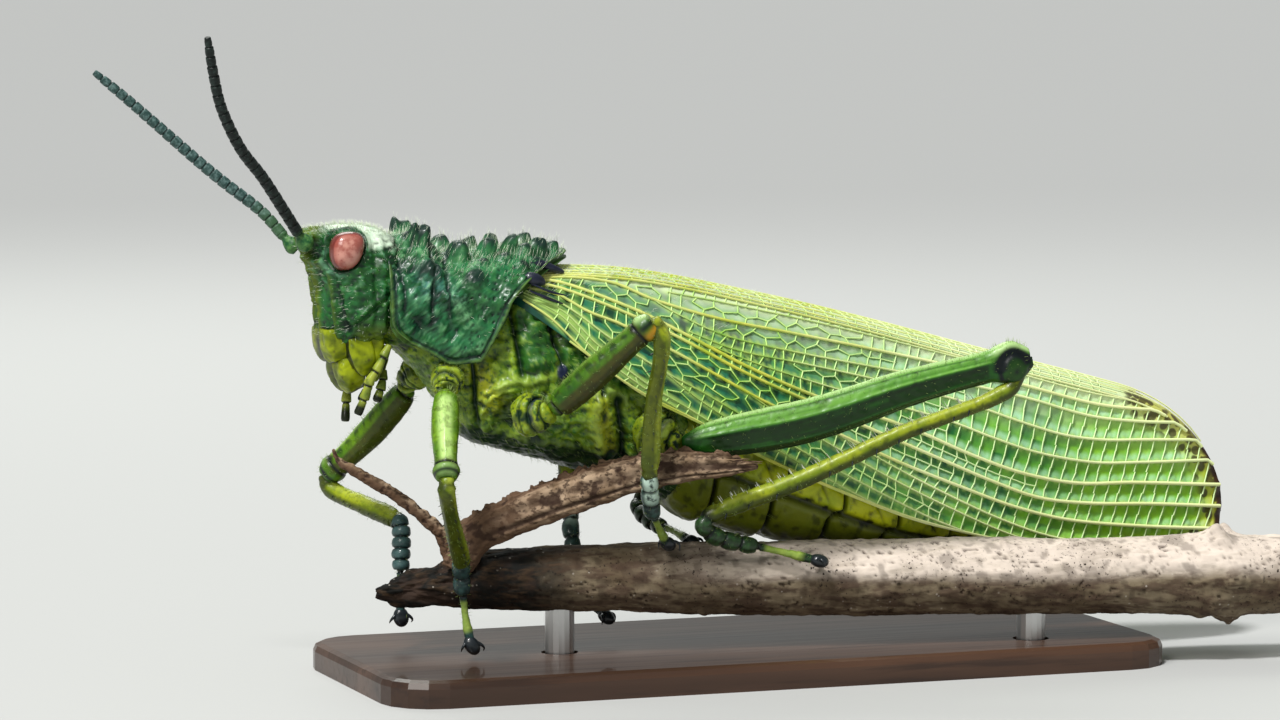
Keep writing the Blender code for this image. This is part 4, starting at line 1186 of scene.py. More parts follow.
def makePronotum(finish):
    reach = math.radians(pronotumOf["reach"])

    def shape(u, v):
        angle = (2 * u - 1) * reach
        degrees = np.abs(np.degrees(angle))
        front, rear = easeMany(pronotumOf["front"], degrees), easeMany(pronotumOf["rear"], degrees)
        return pronotumSpots(front + (rear - front) * v, angle)
    bm, uv, points = surface(280, 150, shape, closed=False)
    away = outward(points, closed=False)
    centre = np.array([-22, 0, pronotumOf["axis"]])
    if ((points - centre) * away).sum() < 0:
        away = -away
    away = away.reshape(-1, 3)
    flat = points.reshape(-1, 3)
    angle = (2 * uv[:, 0] - 1) * reach
    degrees = np.abs(np.degrees(angle))
    x = flat[:, 0]
    push = np.zeros(len(flat))
    tips = np.zeros(len(flat))
    lean = np.zeros((len(flat), 3))
    for along, turn, height, radius in pronotumOf["knobs"]:
        for way in (-1, 1):
            foot = pronotumSpots(np.array([along]), np.array([way * math.radians(turn)]))[0]
            # blunt knobs, drawn out ahead and steep behind
            gap = flat - foot
            gap[:, 0] /= np.where(gap[:, 0] < 0, *pronotumOf["knobSlope"])
            peak = np.clip(1 - (np.linalg.norm(gap, axis=1) / (1.25 * radius)) ** 2, 0, 1)
            rise = height * (peak * peak * (3 - 2 * peak)) ** 0.8
            lean += (rise * peak * 0.2)[:, None] * np.array([0.6, 0, 0])
            push += rise
            tips = np.maximum(tips, peak)
    block = within(x, -27.2, -26.5, -25.5, -25.1) * bump(degrees, 23, 15)
    push += pronotumOf["hump"] * block
    furrows = np.zeros(len(flat))
    for along, depth, width in pronotumOf["furrows"]:
        wave = 0.25 * np.sin(np.radians(degrees) * 3 + along)
        furrow = bump(x, along + wave, width) * within(degrees, 12, 30, 92, 112)
        furrows = np.maximum(furrows, furrow)
        push -= depth * 1.6 * furrow
    # long fold on the side, slanting folds on the lobe
    fold = bump(degrees, 82, 5) * within(x, -25.3, -24.8, -23.6, -23.0)
    push += 0.3 * fold
    slant = np.sin((degrees * 0.35 - (x + 28) * 4.2) * 0.55)
    lobe = fade(degrees, 78, 96) * (1 - fade(x, -23.5, -21.5))
    push += 0.16 * slant * lobe
    crest = bump(degrees, 0, 5)
    push += 0.12 * crest * (1 - furrows)
    big = grainAt(flat, 1.9, 11.0, 2)
    # folds slant down and back on the lobes
    slanted = flat @ np.array([[0.77, 0, 0.64], [0, 1, 0], [-0.64, 0, 0.77]]).T
    wrinkle = grainAt(slanted * np.array([0.6, 1.0, 1.9]), 0.75, 12.0, 3)
    pits = cellsAt(flat, 0.37, 3.0)
    hind = fade(x, -24.6, -22.2)
    pitted = (1 - fade(pits, 0.05, 0.17)) * (0.1 + 0.9 * hind) * (1 - 0.7 * tips)
    push += 0.4 * big + (0.13 - 0.08 * hind) * wrinkle - 0.1 * pitted
    # painted highlight in the saddle behind the front block
    saddle = bump(x, -24.5, 0.4) * bump(degrees, 34, 18)
    # cord along the margins
    width = np.linalg.norm(np.gradient(points, axis=0), axis=2).reshape(-1) * 160
    rimFront = uv[:, 1] * width
    rimRear = (1 - uv[:, 1]) * width
    rimLow = (pronotumOf["reach"] - degrees) / 57.3 * 5.2
    rim = np.minimum(np.minimum(rimFront, rimRear), rimLow)
    cord = bump(rim, 0.12, 0.16)
    trench = bump(rim, 0.45, 0.14)
    push = push * fade(rim, 0.1, 0.7) + 0.09 * cord - 0.1 * trench
    flat = flat + away * push[:, None] + lean
    place(bm, flat)
    # dark: painted shade in the furrows, the pits, the trench inside the cord, the troughs of the wrinkles
    # and the hollows; the dark knob tips are the pronotum's own
    mark(bm, dark=0.9 * furrows + 0.7 * pitted + 0.8 * trench - (1.1 - 0.7 * hind) * np.minimum(wrinkle, 0)
         - 0.8 * np.minimum(big + 0.2, 0) + 0.95 * fade(tips, 0.5, 0.85),
         # pale: painted highlight on the tops of the wrinkles and rises, round the knobs, on the side fold
         # and in the saddle
         pale=1.3 * np.maximum(wrinkle, 0) * (1 - hind * 0.7) + 0.9 * np.maximum(big - 0.15, 0)
         + 0.2 * bump(tips, 0.3, 0.18) + fold + 0.9 * saddle,
         cord=cord,
         # blue: painted bluish highlight on the front lobe's side and the fold
         blue=bump(degrees, 72, 16) * bump(x, -25.8, 1.6) + fold)
    faceOut(bm, lambda face: (face.calc_center_median() - Vector(centre)).dot(face.normal))
    keepSkin("pronotum", flat, away, uv, points)
    thicken(finishPiece("pronotum", bm, finish), pronotumOf["thick"])
    print("pronotum made")


def pronotumFinish():
    paint = Finish("pronotum shell", Roughness=0.34, Coat_Weight=0.25, Coat_Roughness=0.22)
    fine = paint.grain(1.7, 4)
    cloud = paint.grain(0.4, 3)
    colour = paint.over(
        paint.mix(paint.step(cloud, 0.38, 0.64), (0.006, 0.062, 0.014), (0.015, 0.14, 0.045)),
        (paint.step(fine, 0.45, 0.7) * 0.5, (0.025, 0.17, 0.025)),
        # painted bluish highlight
        (paint.mask("blue") * paint.step(fine, 0.35, 0.6) * 0.7, (0.04, 0.16, 0.17)),
        # painted highlight
        (paint.mask("pale") * paint.step(fine, 0.38, 0.62) * 0.65, (0.22, 0.5, 0.24)),
        (paint.mask("cord") * 0.7, (0.1, 0.17, 0.02)),
        # painted shade in furrows, pits and hollows, with the knob tips' own dark
        (paint.mask("dark"), (0.002, 0.02, 0.012)),
    )
    return paint.done(colour, 0.34 + fine * 0.3, fine, 0.00005, 0.5)


trunkOf = {
    # place along: top, bottom, half width
    "shape": [(-28.8, (23.6, 18.8, 2.4)), (-27.3, (23.9, 18.0, 2.7)), (-25.5, (23.9, 16.2, 3.3)),
              (-23.5, (23.7, 13.5, 3.75)),
              (-22.0, (23.7, 11.3, 3.95)), (-19.5, (23.7, 10.4, 4.65)), (-17.5, (23.2, 9.9, 5.2)),
              (-13.6, (21.9, 8.7, 5.4)),
              (-8.0, (19.4, 6.8, 5.3)), (-4.0, (16.6, 4.6, 5.0)), (1.9, (13.8, 3.0, 4.7)),
              (9.9, (10.4, 1.5, 4.1)),
              (15.5, (7.6, 1.0, 3.2)), (18.4, (5.9, 1.2, 2.2)), (19.6, (4.9, 1.5, 1.4))],
    "square": 2.15,             # 2 is an ellipse, more is squarer
    "thorax": (-28.7, -6.1),
    "abdomen": (-6.5, 19.6),
    "valves": {"upper": (4.0, 0.7), "lower": (2.35, -0.35)},    # height at the foot, rise to the tip
    "valveSizes": [(0, (1.0, 0.6)), (0.6, (0.75, 0.5)), (1, (0.25, 0.22))],
    "rings": (2.3, 4.65),       # where one ring of the belly starts, and how far apart they are
    "sutures": [[(-19.7, 22.4), (-19.35, 19.0), (-18.95, 16.2)],
                [(-16.9, 21.0), (-16.4, 18.6), (-15.9, 16.9)],
                [(-13.2, 19.5), (-12.7, 16.5), (-12.9, 14.6)],
                [(-22.4, 17.0), (-22.2, 14.0), (-21.4, 11.8)]],
    # places along, then heights or shares of the height
    "sternum": ([-22, -6], [12.2, 9.3]),
    "keel": ([-22, -6], [12.0, 9.1]),
    "border": ([-4, 3, 12], [0.36, 0.32, 0.22]),
    # lines and spots of the side, as (place along, height)
    "socket": (-19.2, 13.2),
    "spiracle": (-16.0, 16.35),
    "column": [(-13.2, 14.0), (-12.9, 12.2), (-12.0, 10.0)],
    "gap": [(-11.6, 14.2), (-11.3, 12.0), (-10.9, 9.6)],
    "goldFold": [(-22, 16.3), (-21, 14.2)],
    "folds": [[(-20.7, 15.3), (-19.6, 15.9), (-18.3, 15.5), (-17.4, 15.9)],
              [(-13.6, 14.6), (-12.4, 15.0), (-11.2, 14.2)],
              [(-13.4, 14.2), (-13.5, 12.4), (-12.6, 10.4)]],
}


def trunkSpots(x, angle):
    top, bottom, half = easeMany(trunkOf["shape"], x)
    middle = bottom + (top - bottom) * 0.45
    side = signedPower(np.cos(angle), 2 / trunkOf["square"])
    rise = signedPower(np.sin(angle), 2 / trunkOf["square"])
    return np.stack([x, side * half, middle + rise * np.where(rise > 0, top - middle, middle - bottom)], 1)


def closedTrunk(x, u, v, sharp):
    # the trunk's section at each x, drawn together at both ends
    spots = trunkSpots(x, u * 2 * math.pi)
    centre = (spots + trunkSpots(x, u * 2 * math.pi + math.pi)) / 2
    return centre + (spots - centre) * roundEnds(v, sharp)[:, None]


def makeThorax(finish):
    start, end = trunkOf["thorax"]

    def shape(u, v):
        return closedTrunk(start + (end - start) * evenEnds(v, 0.15), u, v, 60.0)
    bm, uv, points, flat, away = closedSkin(260, 210, shape)
    x, y, z = flat.T
    plane = np.stack([x, z], 1)
    onSide = fade(np.abs(y), 2.0, 3.2)

    def alongLines(lines, width):
        return np.max([bump(lineDistance(plane, line), 0, width) for line in lines], axis=0)
    grooves = alongLines(trunkOf["sutures"], 0.2) * onSide
    lips = alongLines(trunkOf["folds"], 0.34) * onSide
    socket = np.hypot((x - trunkOf["socket"][0]) / 1.25, z - trunkOf["socket"][1])
    rings = bump(socket, 1.95, 0.2) + 0.7 * bump(socket, 2.45, 0.16)
    ringZone = fade(-x, 18.9, 19.8) * onSide * (1 - fade(z, 15.2, 16.0))
    column = alongLines([trunkOf["column"]], 0.75) * onSide
    gap = alongLines([trunkOf["gap"]], 0.35) * onSide
    spiracle = np.hypot((x - trunkOf["spiracle"][0]) / 0.7, z - trunkOf["spiracle"][1])
    spiracleMask = (1 - fade(spiracle, 0.45, 0.75)) * onSide
    sternum = 1 - fade(z - np.interp(x, *trunkOf["sternum"]), -0.4, 0.4)
    keel = bump(z, np.interp(x, *trunkOf["keel"]), 0.22) * onSide
    big = grainAt(flat, 1.6, 21.0, 2)
    wrinkle = grainAt(flat * np.array([1.0, 1.0, 1.7]), 0.75, 22.0, 3)
    fine = grainAt(flat, 0.3, 23.0, 2)
    plateSwell = 0.35 * bump(x, -17.9, 1.0) * fade(z, 15.8, 17.2)
    plateSwell += 0.3 * bump(x, -14.4, 1.3) * fade(z, 14.8, 16.0)
    push = 0.26 * big + 0.24 * wrinkle + 0.08 * fine - 0.55 * grooves + 0.36 * lips + 0.36 * rings * ringZone
    push += plateSwell * onSide * (1 - grooves)
    push += 0.55 * column - 0.7 * gap + 0.25 * spiracleMask + 0.16 * keel
    push -= 0.45 * (1 - fade(socket, 0.8, 1.5)) * onSide
    push *= 0.4 + 0.6 * onSide
    moved = pushOut(bm, flat, away, push)
    epimeron = within(x, -19.4, -19.0, -16.9, -16.3) * fade(z, 15.8, 16.8)
    after = fade(x, -16.3, -15.8) * fade(z, 14.0, 16.0) * (1 - fade(x, -12.0, -9.0))
    # dark: painted shade in the sutures' grooves, the gap behind the gold column, the troughs of the wrinkles
    # and the hollows, and round the leg socket; darker below the sternum line; the spiracle's dark is its own
    mark(bm, dark=grooves + gap + 0.8 * spiracleMask - 1.5 * np.minimum(wrinkle + 0.12, 0)
         - 0.5 * np.minimum(big, 0) + 0.8 * (1 - fade(socket, 0.7, 1.4)) * onSide + 0.85 * sternum,
         green=epimeron + after * 0.8 + 0.55 * fade(fine + big, 0.1, 0.5) + 0.35 * sternum,
         # pale: painted highlight on the raised folds, the socket's rings, the keel and the tops of the
         # wrinkles
         pale=lips * 0.9 + rings * ringZone * 0.4 + 0.55 * fade(wrinkle, 0.22, 0.5) + keel * 0.8,
         gold=column * 1.2 + alongLines([trunkOf["goldFold"]], 0.9) * onSide,
         navy=spiracleMask + bump(x, -17.3, 0.9) * bump(z, 23.3, 0.9) * fade(x, -19, -18))
    keepSkin("thorax", moved, away, uv, points)
    finishPiece("thorax", bm, finish, ["prothorax", "pterothorax"], welded=True)


def thoraxFinish():
    paint = Finish("thorax plates", Roughness=0.32, Coat_Weight=0.15)
    fine = paint.grain(2.6, 5)
    cloud = paint.grain(0.5, 3)
    stipple = paint.cells(2.4)
    colour = paint.over(
        paint.mix(paint.step(cloud, 0.35, 0.65), (0.09, 0.19, 0.006), (0.24, 0.36, 0.01)),
        (paint.mask("green") * 0.9, (0.01, 0.095, 0.012)),
        (paint.mask("gold") * 0.85, (0.46, 0.48, 0.01)),
        (paint.step(fine, 0.5, 0.66) * 0.75, (0.015, 0.1, 0.015)),
        (paint.step(stipple, 0.22, 0.08) * 0.7, (0.004, 0.045, 0.02)),
        # painted highlight on raised folds and wrinkle tops
        (paint.mask("pale") * 0.6, (0.38, 0.54, 0.08)),
        # painted shade in the grooves and hollows of the thorax and the hips, with the spiracle's own dark
        (paint.mask("dark"), (0.006, 0.026, 0.008)),
        (paint.mask("navy") * 0.9, (0.012, 0.016, 0.05)),
    )
    return paint.done(colour, 0.28 + fine * 0.3, fine, 0.00007, 0.6)


def makeAbdomen(finish):
    start, end = trunkOf["abdomen"]
    first, pitch = trunkOf["rings"]

    def shape(u, v):
        return closedTrunk(start + (end - start) * v, u, v, 40.0)
    bm, uv, points, flat, away = closedSkin(170, 300, shape)
    x, y, z = flat.T
    top, bottom, half = easeMany(trunkOf["shape"], x)
    level = (z - bottom) / (top - bottom)
    # the belly plates start a little ahead of the side plates
    border = np.interp(x, *trunkOf["border"])
    inside = ((x - first + 1.3 * (1 - fade(level - border, -0.08, 0.06))) / pitch) % 1.0
    gap = np.clip(bump(inside, 1.0, 0.045) + bump(inside, 0.0, 0.03), 0, 1)
    fold = bump(level, border, 0.03) * (np.abs(y) > 0.4 * half)
    upperFold = bump(level, 0.62, 0.03)
    plate = np.sin(math.pi * np.clip(inside, 0, 1)) ** 0.6
    side = fade(level - border, -0.02, 0.03)
    wrinkle = grainAt(flat, 0.8, 31.0, 3)
    slant = level - border - 0.13
    crease = (bump(inside + 1.1 * slant, 0.6, 0.03)
              + 0.7 * bump(inside - 1.6 * slant, 0.52, 0.025)) * bump(slant, 0, 0.08)
    push = 0.32 * plate + 0.26 * fade(inside, 0.4,
                                      0.9) * (1 - gap) - 0.5 * gap - 0.4 * fold - 0.2 * upperFold
    push += 0.08 * wrinkle - 0.16 * crease - 0.1
    pushOut(bm, flat, away, push)
    # dark: the gaps between the rings are the abdomen's own dark skin with painted shade where each plate
    # overlaps the next; the folds, creases and troughs of the wrinkles are painted shade
    mark(bm, dark=gap * 1.1 + 0.9 * fold + 0.5 * crease + 0.35 * upperFold
         + 0.6 * fade(-wrinkle, 0.15, 0.5),
         olive=1 - side + 0.7 * fade(level, 0.6, 0.7))
    keepSkin("abdomen", flat, away, uv, points)
    finishPiece("abdomen", bm, finish, welded=True)


def makeValves(finish):
    # the two valves of the ovipositor
    for name, (height, drop) in trunkOf["valves"].items():
        route = [(19.7, 0, height), (21.0, 0, height - 0.35), (22.2, 0, height - 0.35 + drop)]

        def valve(u, v):
            return tubeSpots(route, trunkOf["valveSizes"], u, evenEnds(v), ends=8.0)
        bm, uv, _, flat, _ = closedSkin(32, 40, valve)
        place(bm, flat)
        mark(bm, dark=fade(uv[:, 1], 0.55, 0.95), olive=0.6 + 0 * uv[:, 1])
        finishPiece(f"ovipositor_{name}", bm, finish, welded=True)


def abdomenFinish():
    paint = Finish("abdomen plates", Roughness=0.38, Coat_Weight=0.15)
    fine = paint.grain(1.6, 4)
    cloud = paint.grain(0.45, 3)
    colour = paint.over(
        paint.mix(paint.step(cloud, 0.35, 0.65), (0.34, 0.42, 0.004), (0.6, 0.64, 0.008)),
        (paint.mask("olive") * 0.9, (0.09, 0.11, 0.004)),
        (paint.step(fine, 0.55, 0.75) * 0.5, (0.12, 0.16, 0.012)),
        # the dark skin between the rings, and painted shade in the folds and creases
        (paint.mask("dark"), (0.008, 0.012, 0.004)),
    )
    return paint.done(colour, 0.3 + fine * 0.3, fine, 0.00006, 0.5)


def makeTrunk():
    makeThorax(thoraxFinish())
    belly = abdomenFinish()
    makeAbdomen(belly)
    makeValves(belly)
    print("trunk made")


legsOf = {
    "left_front": {
        "coxa": [(-24.1, -3.2, 16.3), (-24.75, -4.7, 15.6)],
        "femur": [(-24.95, -5.3, 15.15), (-25.9, -8.0, 12.2), (-26.5, -10.2, 9.4)],
        "tibia": [(-26.5, -10.3, 8.3), (-25.2, -7.7, 5.5), (-23.7, -4.9, 2.8)],
        "tarsus": [(-23.4, -4.1, 1.7), (-23.05, -3.4, -0.5), (-22.75, -3.5, -2.7), (-22.5, -3.7, -3.8)],
    },
    "right_front": {
        "coxa": [(-24.1, 3.2, 16.3), (-24.7, 4.7, 15.3)],
        "femur": [(-24.5, 5.1, 14.6), (-26.8, 7.8, 11.0), (-29.5, 10.4, 7.6)],
        "tibia": [(-29.15, 10.1, 6.6), (-27.6, 7.3, 5.7), (-26.0, 4.4, 4.9)],
        "tarsus": [(-25.65, 3.8, 4.5), (-25.85, 3.1, 1.9), (-26.0, 2.9, -0.8), (-25.95, 2.8, -2.4)],
    },
    "left_middle": {
        "coxa": [(-18.9, -4.5, 13.3), (-17.9, -6.1, 13.4)],
        "femur": [(-17.3, -6.9, 13.7), (-14.0, -9.0, 17.2), (-10.9, -10.8, 20.4)],
        "tibia": [(-10.3, -11.0, 18.95), (-10.7, -10.4, 14.6), (-10.8, -9.8, 9.5)],
        "tarsus": [(-10.65, -9.4, 8.5), (-9.8, -7.7, 6.1), (-8.3, -5.9, 3.9), (-7.7, -5.3, 3.3)],
    },
    "right_middle": {
        "coxa": [(-18.9, 4.5, 13.3), (-17.9, 6.1, 13.4)],
        "femur": [(-17.3, 6.9, 13.7), (-14.0, 9.0, 17.2), (-10.9, 10.8, 20.4)],
        "tibia": [(-10.3, 11.1, 18.95), (-11.1, 8.3, 13.2), (-11.8, 5.6, 6.9)],
        "tarsus": [(-11.9, 4.8, 5.9), (-12.5, 2.4, 2.6), (-11.8, 1.4, -1.2), (-10.7, -0.1, -2.7)],
    },
    "left_hind": {
        "coxa": [(-9.4, -4.3, 11.9), (-8.0, -6.0, 11.2)],
        "femur": [(-7.2, -6.9, 10.9), (1.9, -8.9, 12.5), (10.0, -10.4, 15.0), (18.8, -11.6, 17.0)],
        "tibia": [(16.9, -11.6, 14.5), (9.0, -10.3, 11.5), (1.6, -8.9, 8.2), (-5.3, -7.6, 5.6)],
        "tarsus": [(-5.75, -7.5, 4.9), (-4.4, -7.0, 3.9), (-1.0, -7.0, 3.0), (3.3, -8.1, 1.9)],
    },
    "right_hind": {
        "coxa": [(-9.4, 4.3, 11.9), (-8.0, 6.0, 11.2)],
        "femur": [(-7.2, 6.9, 10.9), (1.9, 8.9, 12.4), (10.0, 10.4, 14.5), (18.8, 11.6, 16.1)],
        "tibia": [(16.9, 11.6, 13.7), (9.0, 10.3, 11.1), (1.6, 8.9, 8.1), (-5.3, 7.3, 5.3)],
        "tarsus": [(-5.65, 6.7, 4.6), (-5.2, 4.6, 3.7), (-4.5, 2.3, 3.3), (-3.9, -0.2, 2.7)],
    },
}

limbSizes = {
    "femur": [(0, (0.6, 0.65)), (0.1, (0.92, 1.0)), (0.45, (1.0, 1.1)), (0.8, (0.84, 0.9)),
              (0.93, (0.98, 1.06)),
              (1, (0.86, 0.92))],
    "hind femur": [(0, (0.6, 0.7)), (0.06, (0.9, 1.15)), (0.25, (1.0, 1.5)), (0.5, (0.95, 1.4)),
                   (0.8, (0.75, 1.1)),
                   (0.87, (0.75, 1.15)), (0.95, (0.9, 1.62)), (1, (0.55, 0.9))],
    "tibia": [(0, (0.55, 0.6)), (0.1, (0.6, 0.66)), (0.35, (0.56, 0.62)), (0.85, (0.66, 0.72)),
              (1, (0.55, 0.6))],
    "hind tibia": [(0, (0.4, 0.45)), (0.07, (0.55, 0.6)), (0.2, (0.46, 0.52)), (0.9, (0.56, 0.66)),
                   (1, (0.5, 0.55))],
    "tarsus": [(0, (0.46, 0.46)), (0.15, (0.56, 0.56)), (0.5, (0.5, 0.5)), (0.56, (0.3, 0.3)),
               (0.72, (0.25, 0.25)),
               (0.86, (0.35, 0.35)), (0.93, (0.32, 0.32)), (1, (0.2, 0.2))],
}
coxaStout = {"front": 1.15, "middle": 1.5, "hind": 1.85}
padCount = {"right_front": 5, "left_front": 3, "left_middle": 3, "right_middle": 4, "left_hind": 4,
            "right_hind": 4}


shinHint = Vector((0.3, 0, 1))   # the upper side of a shin faces this way


def between(a, b, share):
    return tuple(Vector(a).lerp(Vector(b), share))


def joinedLegs():
    # each limb reaches into the joint of the one before it
    joined = {}
    for name, leg in legsOf.items():
        knee = between(leg["femur"][-1], leg["tibia"][0], 0.25 if "hind" in name else -0.15)
        ankle = between(leg["tibia"][-1], leg["tarsus"][0], 0.8)
        heel = between(leg["tibia"][-1], leg["tarsus"][0], -1.0 if name == "left_front" else 0.2)
        joined[name] = dict(leg, tibia=[knee, *leg["tibia"], ankle], tarsus=[heel, *leg["tarsus"]])
    return joined


def limbSurface(name, route, sizes, sides, rows, hint=up, power=2.0, ends=9.0, share=0.35):
    def shape(u, v):
        return tubeSpots(route, sizes, u, evenEnds(v, share), power=power, hint=hint, ends=ends)
    bm, uv, points, flat, away = closedSkin(sides, rows, shape)
    along = evenEnds(uv[:, 1], share)
    keepSkin(name, flat, away, np.stack([uv[:, 0], along], 1), points)
    tilt = np.degrees(np.arccos(np.clip(np.sin(uv[:, 0] * 2 * math.pi), -1, 1)))      # 0 on top, 180 below
    return bm, flat, away, along, tilt


def makeCoxa(name, route, stout, finish, trochanter):
    # a stout hip of three lobes with folds between them
    start, end = route
    reach = [Vector(spot) for spot in (start, between(start, end, 0.55), end, trochanter)]
    sizes = [(0, (stout, stout)), (0.35, (stout * 1.05, stout * 1.08)), (0.62, (stout * 0.8, stout * 0.82)),
             (0.85, (0.85, 0.85)), (1, (0.7, 0.7))]
    bm, flat, away, along, _ = limbSurface(f"coxa_{name}", reach, sizes, 72, 72, ends=6.0)
    fold = bump(along, 0.55, 0.035) + bump(along, 0.8, 0.03) + 0.7 * bump(along, 0.32, 0.03)
    wrinkle = grainAt(flat, 0.7, 41.0, 3)
    lobes = grainAt(flat, 1.3, 42.0, 1)
    push = 0.2 * lobes + 0.09 * wrinkle - 0.26 * fold + 0.1 * bump(along, 0.9, 0.06)
    pushOut(bm, flat, away, push)
    # painted shade in the folds and hollows, and painted highlight on the tops of the wrinkles
    mark(bm, dark=fold + 0.8 * fade(-lobes, 0.1, 0.5) + fade(-wrinkle, 0.2, 0.5),
         green=fade(lobes + wrinkle * 0.5, -0.1, 0.35) * 0.8,
         pale=0.6 * fade(wrinkle, 0.25, 0.5),
         gold=0.4 + 0 * along,
         navy=bump(along, 0.62, 0.05) * 0.7)
    finishPiece(f"coxa_{name}", bm, finish, welded=True)


def hindFemurLook(along, tilt, wrinkle, body):
    # keels, the fishbone field between them, the knee's crescent and its lobe
    knee = fade(along, 0.87, 0.92)
    keels = bump(tilt, 0, 9) + 0.9 * bump(tilt, 76, 5) + 0.8 * bump(tilt, 132, 6) + bump(tilt, 180, 9)
    bones = np.sin(along * 150 - np.abs(tilt - 88) * 0.16) * bump(tilt, 88, 30)
    push = body * (0.14 * keels + 0.015 * bones - 0.1 * bump(tilt, 100, 18)) + 0.03 * wrinkle
    fromLobe = np.hypot((along - 0.945) / 0.046, (tilt - 114) / 50)
    crescent = bump(fromLobe, 1.0, 0.36) * (1 - fade(tilt, 102, 116))
    lobe = 1 - fade(fromLobe, 0.55, 0.9)
    push += knee * (-0.14 * crescent + 0.1 * lobe + 0.12 * bump(tilt, 150, 22))
    streak = grainAt(np.stack([along * 5, tilt / 12, 0 * along], 1), 1.0, 44.0, 3)
    stripe = (1 - fade(tilt, 72, 80)) * fade(along, 0.01, 0.06) * (0.75 + 0.6 * streak)
    # dark: painted shade over the lower side and in the troughs of the wrinkles, also on the knee's lower
    # part, with a thin dark line along the upper side; the keel below stays lighter as a painted highlight
    dark = np.clip(body * fade(tilt, 77, 85) * (1.05 + 0.4 * streak) + 0.5 * bump(tilt, 34, 5) * body
                   + 0.35 * fade(-wrinkle, 0.2, 0.5) + 0.75 * knee * fade(tilt, 62, 84), 0, 1)
    black = np.clip(1.8 * crescent + 0.7 * bump(fromLobe, 1.0, 0.14) + 0.9 * bump(fromLobe, 0.0, 0.16)
                    + 0.8 * bump(along, 0.9, 0.006) * fade(tilt, 70, 90), 0, 1) * fade(along, 0.86, 0.89)
    return push, {
        "dark": dark * (1 - 0.6 * bump(tilt, 132, 4) * body),
        "stripe": stripe,
        "light": 0.95 * body * bump(tilt, 6, 12) + knee * (1 - fade(tilt, 44, 66)),
        "spot": knee * lobe,
        "black": black,
    }


def foreFemurLook(flat, along, tilt, wrinkle, body, middle, blotted):
    # the middle pair has stronger marks round the knee
    knee = fade(along, 0.87, 0.92)
    keels = bump(tilt, 0, 12) + bump(tilt, 180, 12) + 0.6 * bump(tilt, 60, 8) + 0.6 * bump(tilt, 120, 8)
    push = body * 0.06 * keels + 0.03 * wrinkle - 0.08 * bump(along, 0.87, 0.012) + 0.05 * bump(along, 0.91,
                                                                                                0.03)
    push -= 0.14 * bump(along, 0.045, 0.012)
    blots = body * bump(tilt, 56, 20) * fade(grainAt(flat, 0.7, 46.0, 2) + 0.45 * np.sin(along * 60), -0.05,
                                             0.25)
    return push, {
        # dark: painted shade over the lower side and in the troughs of the wrinkles; the rings by the knee
        # and at the foot are the femur's own
        "dark": (0.95 * fade(tilt, 84, 100) * body + 0.4 * fade(-wrinkle, 0.15, 0.45)
                 + 0.8 * bump(along, 0.87, 0.035) + 0.7 * bump(along, 0.045, 0.02)),
        # stripe: the femur's own pale stripe along the top, with painted sheen on it on the front pair
        "stripe": body * bump(tilt, 12, 20) * (0.35 if middle else 0.95) * fade(along, 0.08, 0.2),
        "light": knee * (1 - fade(tilt, 30, 75)) * (0.9 if middle else 0.4),
        "spot": knee * bump(tilt, 135, 20) * (0.9 if middle else 0.2),
        "black": (0.8 * blotted * blots + bump(along, 0.87, 0.014) + bump(along, 0.045, 0.01)
                  + knee * bump(tilt, 90, 14) * (0.9 if middle else 0.3)
                  + (0.0 if middle else 0.9) * bump(along, 0.96, 0.02)),
    }


def makeFemur(name, route, finish):
    hind = "hind" in name
    sizes = limbSizes["hind femur" if hind else "femur"]
    sides, rows, power = (80, 240, 2.3) if hind else (56, 140, 2.0)
    bm, flat, away, along, tilt = limbSurface(f"femur_{name}", route, sizes, sides, rows, power=power)
    wrinkle = grainAt(flat, 0.55, 43.0, 3)
    body = within(along, 0.03, 0.1, 0.84, 0.9)
    if hind:
        push, masks = hindFemurLook(along, tilt, wrinkle, body)
    else:
        blotted = 0.3 if name == "left_front" else 0.85
        push, masks = foreFemurLook(flat, along, tilt, wrinkle, body, "middle" in name, blotted)
    pushOut(bm, flat, away, push)
    mark(bm, **masks)
    finishPiece(f"femur_{name}", bm, finish, welded=True)


limbTints = {
    # name, deep and bright green, upper stripe (on the front pair partly painted sheen), spot by the knee,
    # shaded side
    "hind": ("hind femur green", (0.008, 0.075, 0.006), (0.02, 0.13, 0.008), (0.15, 0.36, 0.05),
             (0.012, 0.05, 0.004), (0.006, 0.02, 0.002)),
    "front": ("front femur lime", (0.06, 0.17, 0.004), (0.15, 0.3, 0.006), (0.52, 0.74, 0.24),
              (0.02, 0.1, 0.06), (0.09, 0.09, 0.006)),
    "middle": ("middle femur green", (0.02, 0.085, 0.004), (0.06, 0.15, 0.006), (0.28, 0.42, 0.08),
               (0.62, 0.3, 0.01), (0.075, 0.055, 0.006)),
    "shin": ("tibia olive", (0.13, 0.19, 0.004), (0.29, 0.34, 0.01), (0.42, 0.48, 0.06),
             (0.3, 0.3, 0.03), (0.055, 0.07, 0.003)),
}
footTints = {
    # name, deep and bright, and the tint painted as a highlight on each pad's crown
    "front": ("front pads", (0.002, 0.012, 0.012), (0.016, 0.055, 0.05), (0.09, 0.17, 0.17)),
    "middle": ("middle pads", (0.002, 0.01, 0.01), (0.02, 0.06, 0.05), (0.12, 0.2, 0.17)),
    "hind": ("hind pads", (0.001, 0.008, 0.003), (0.012, 0.05, 0.012), (0.07, 0.15, 0.04)),
}


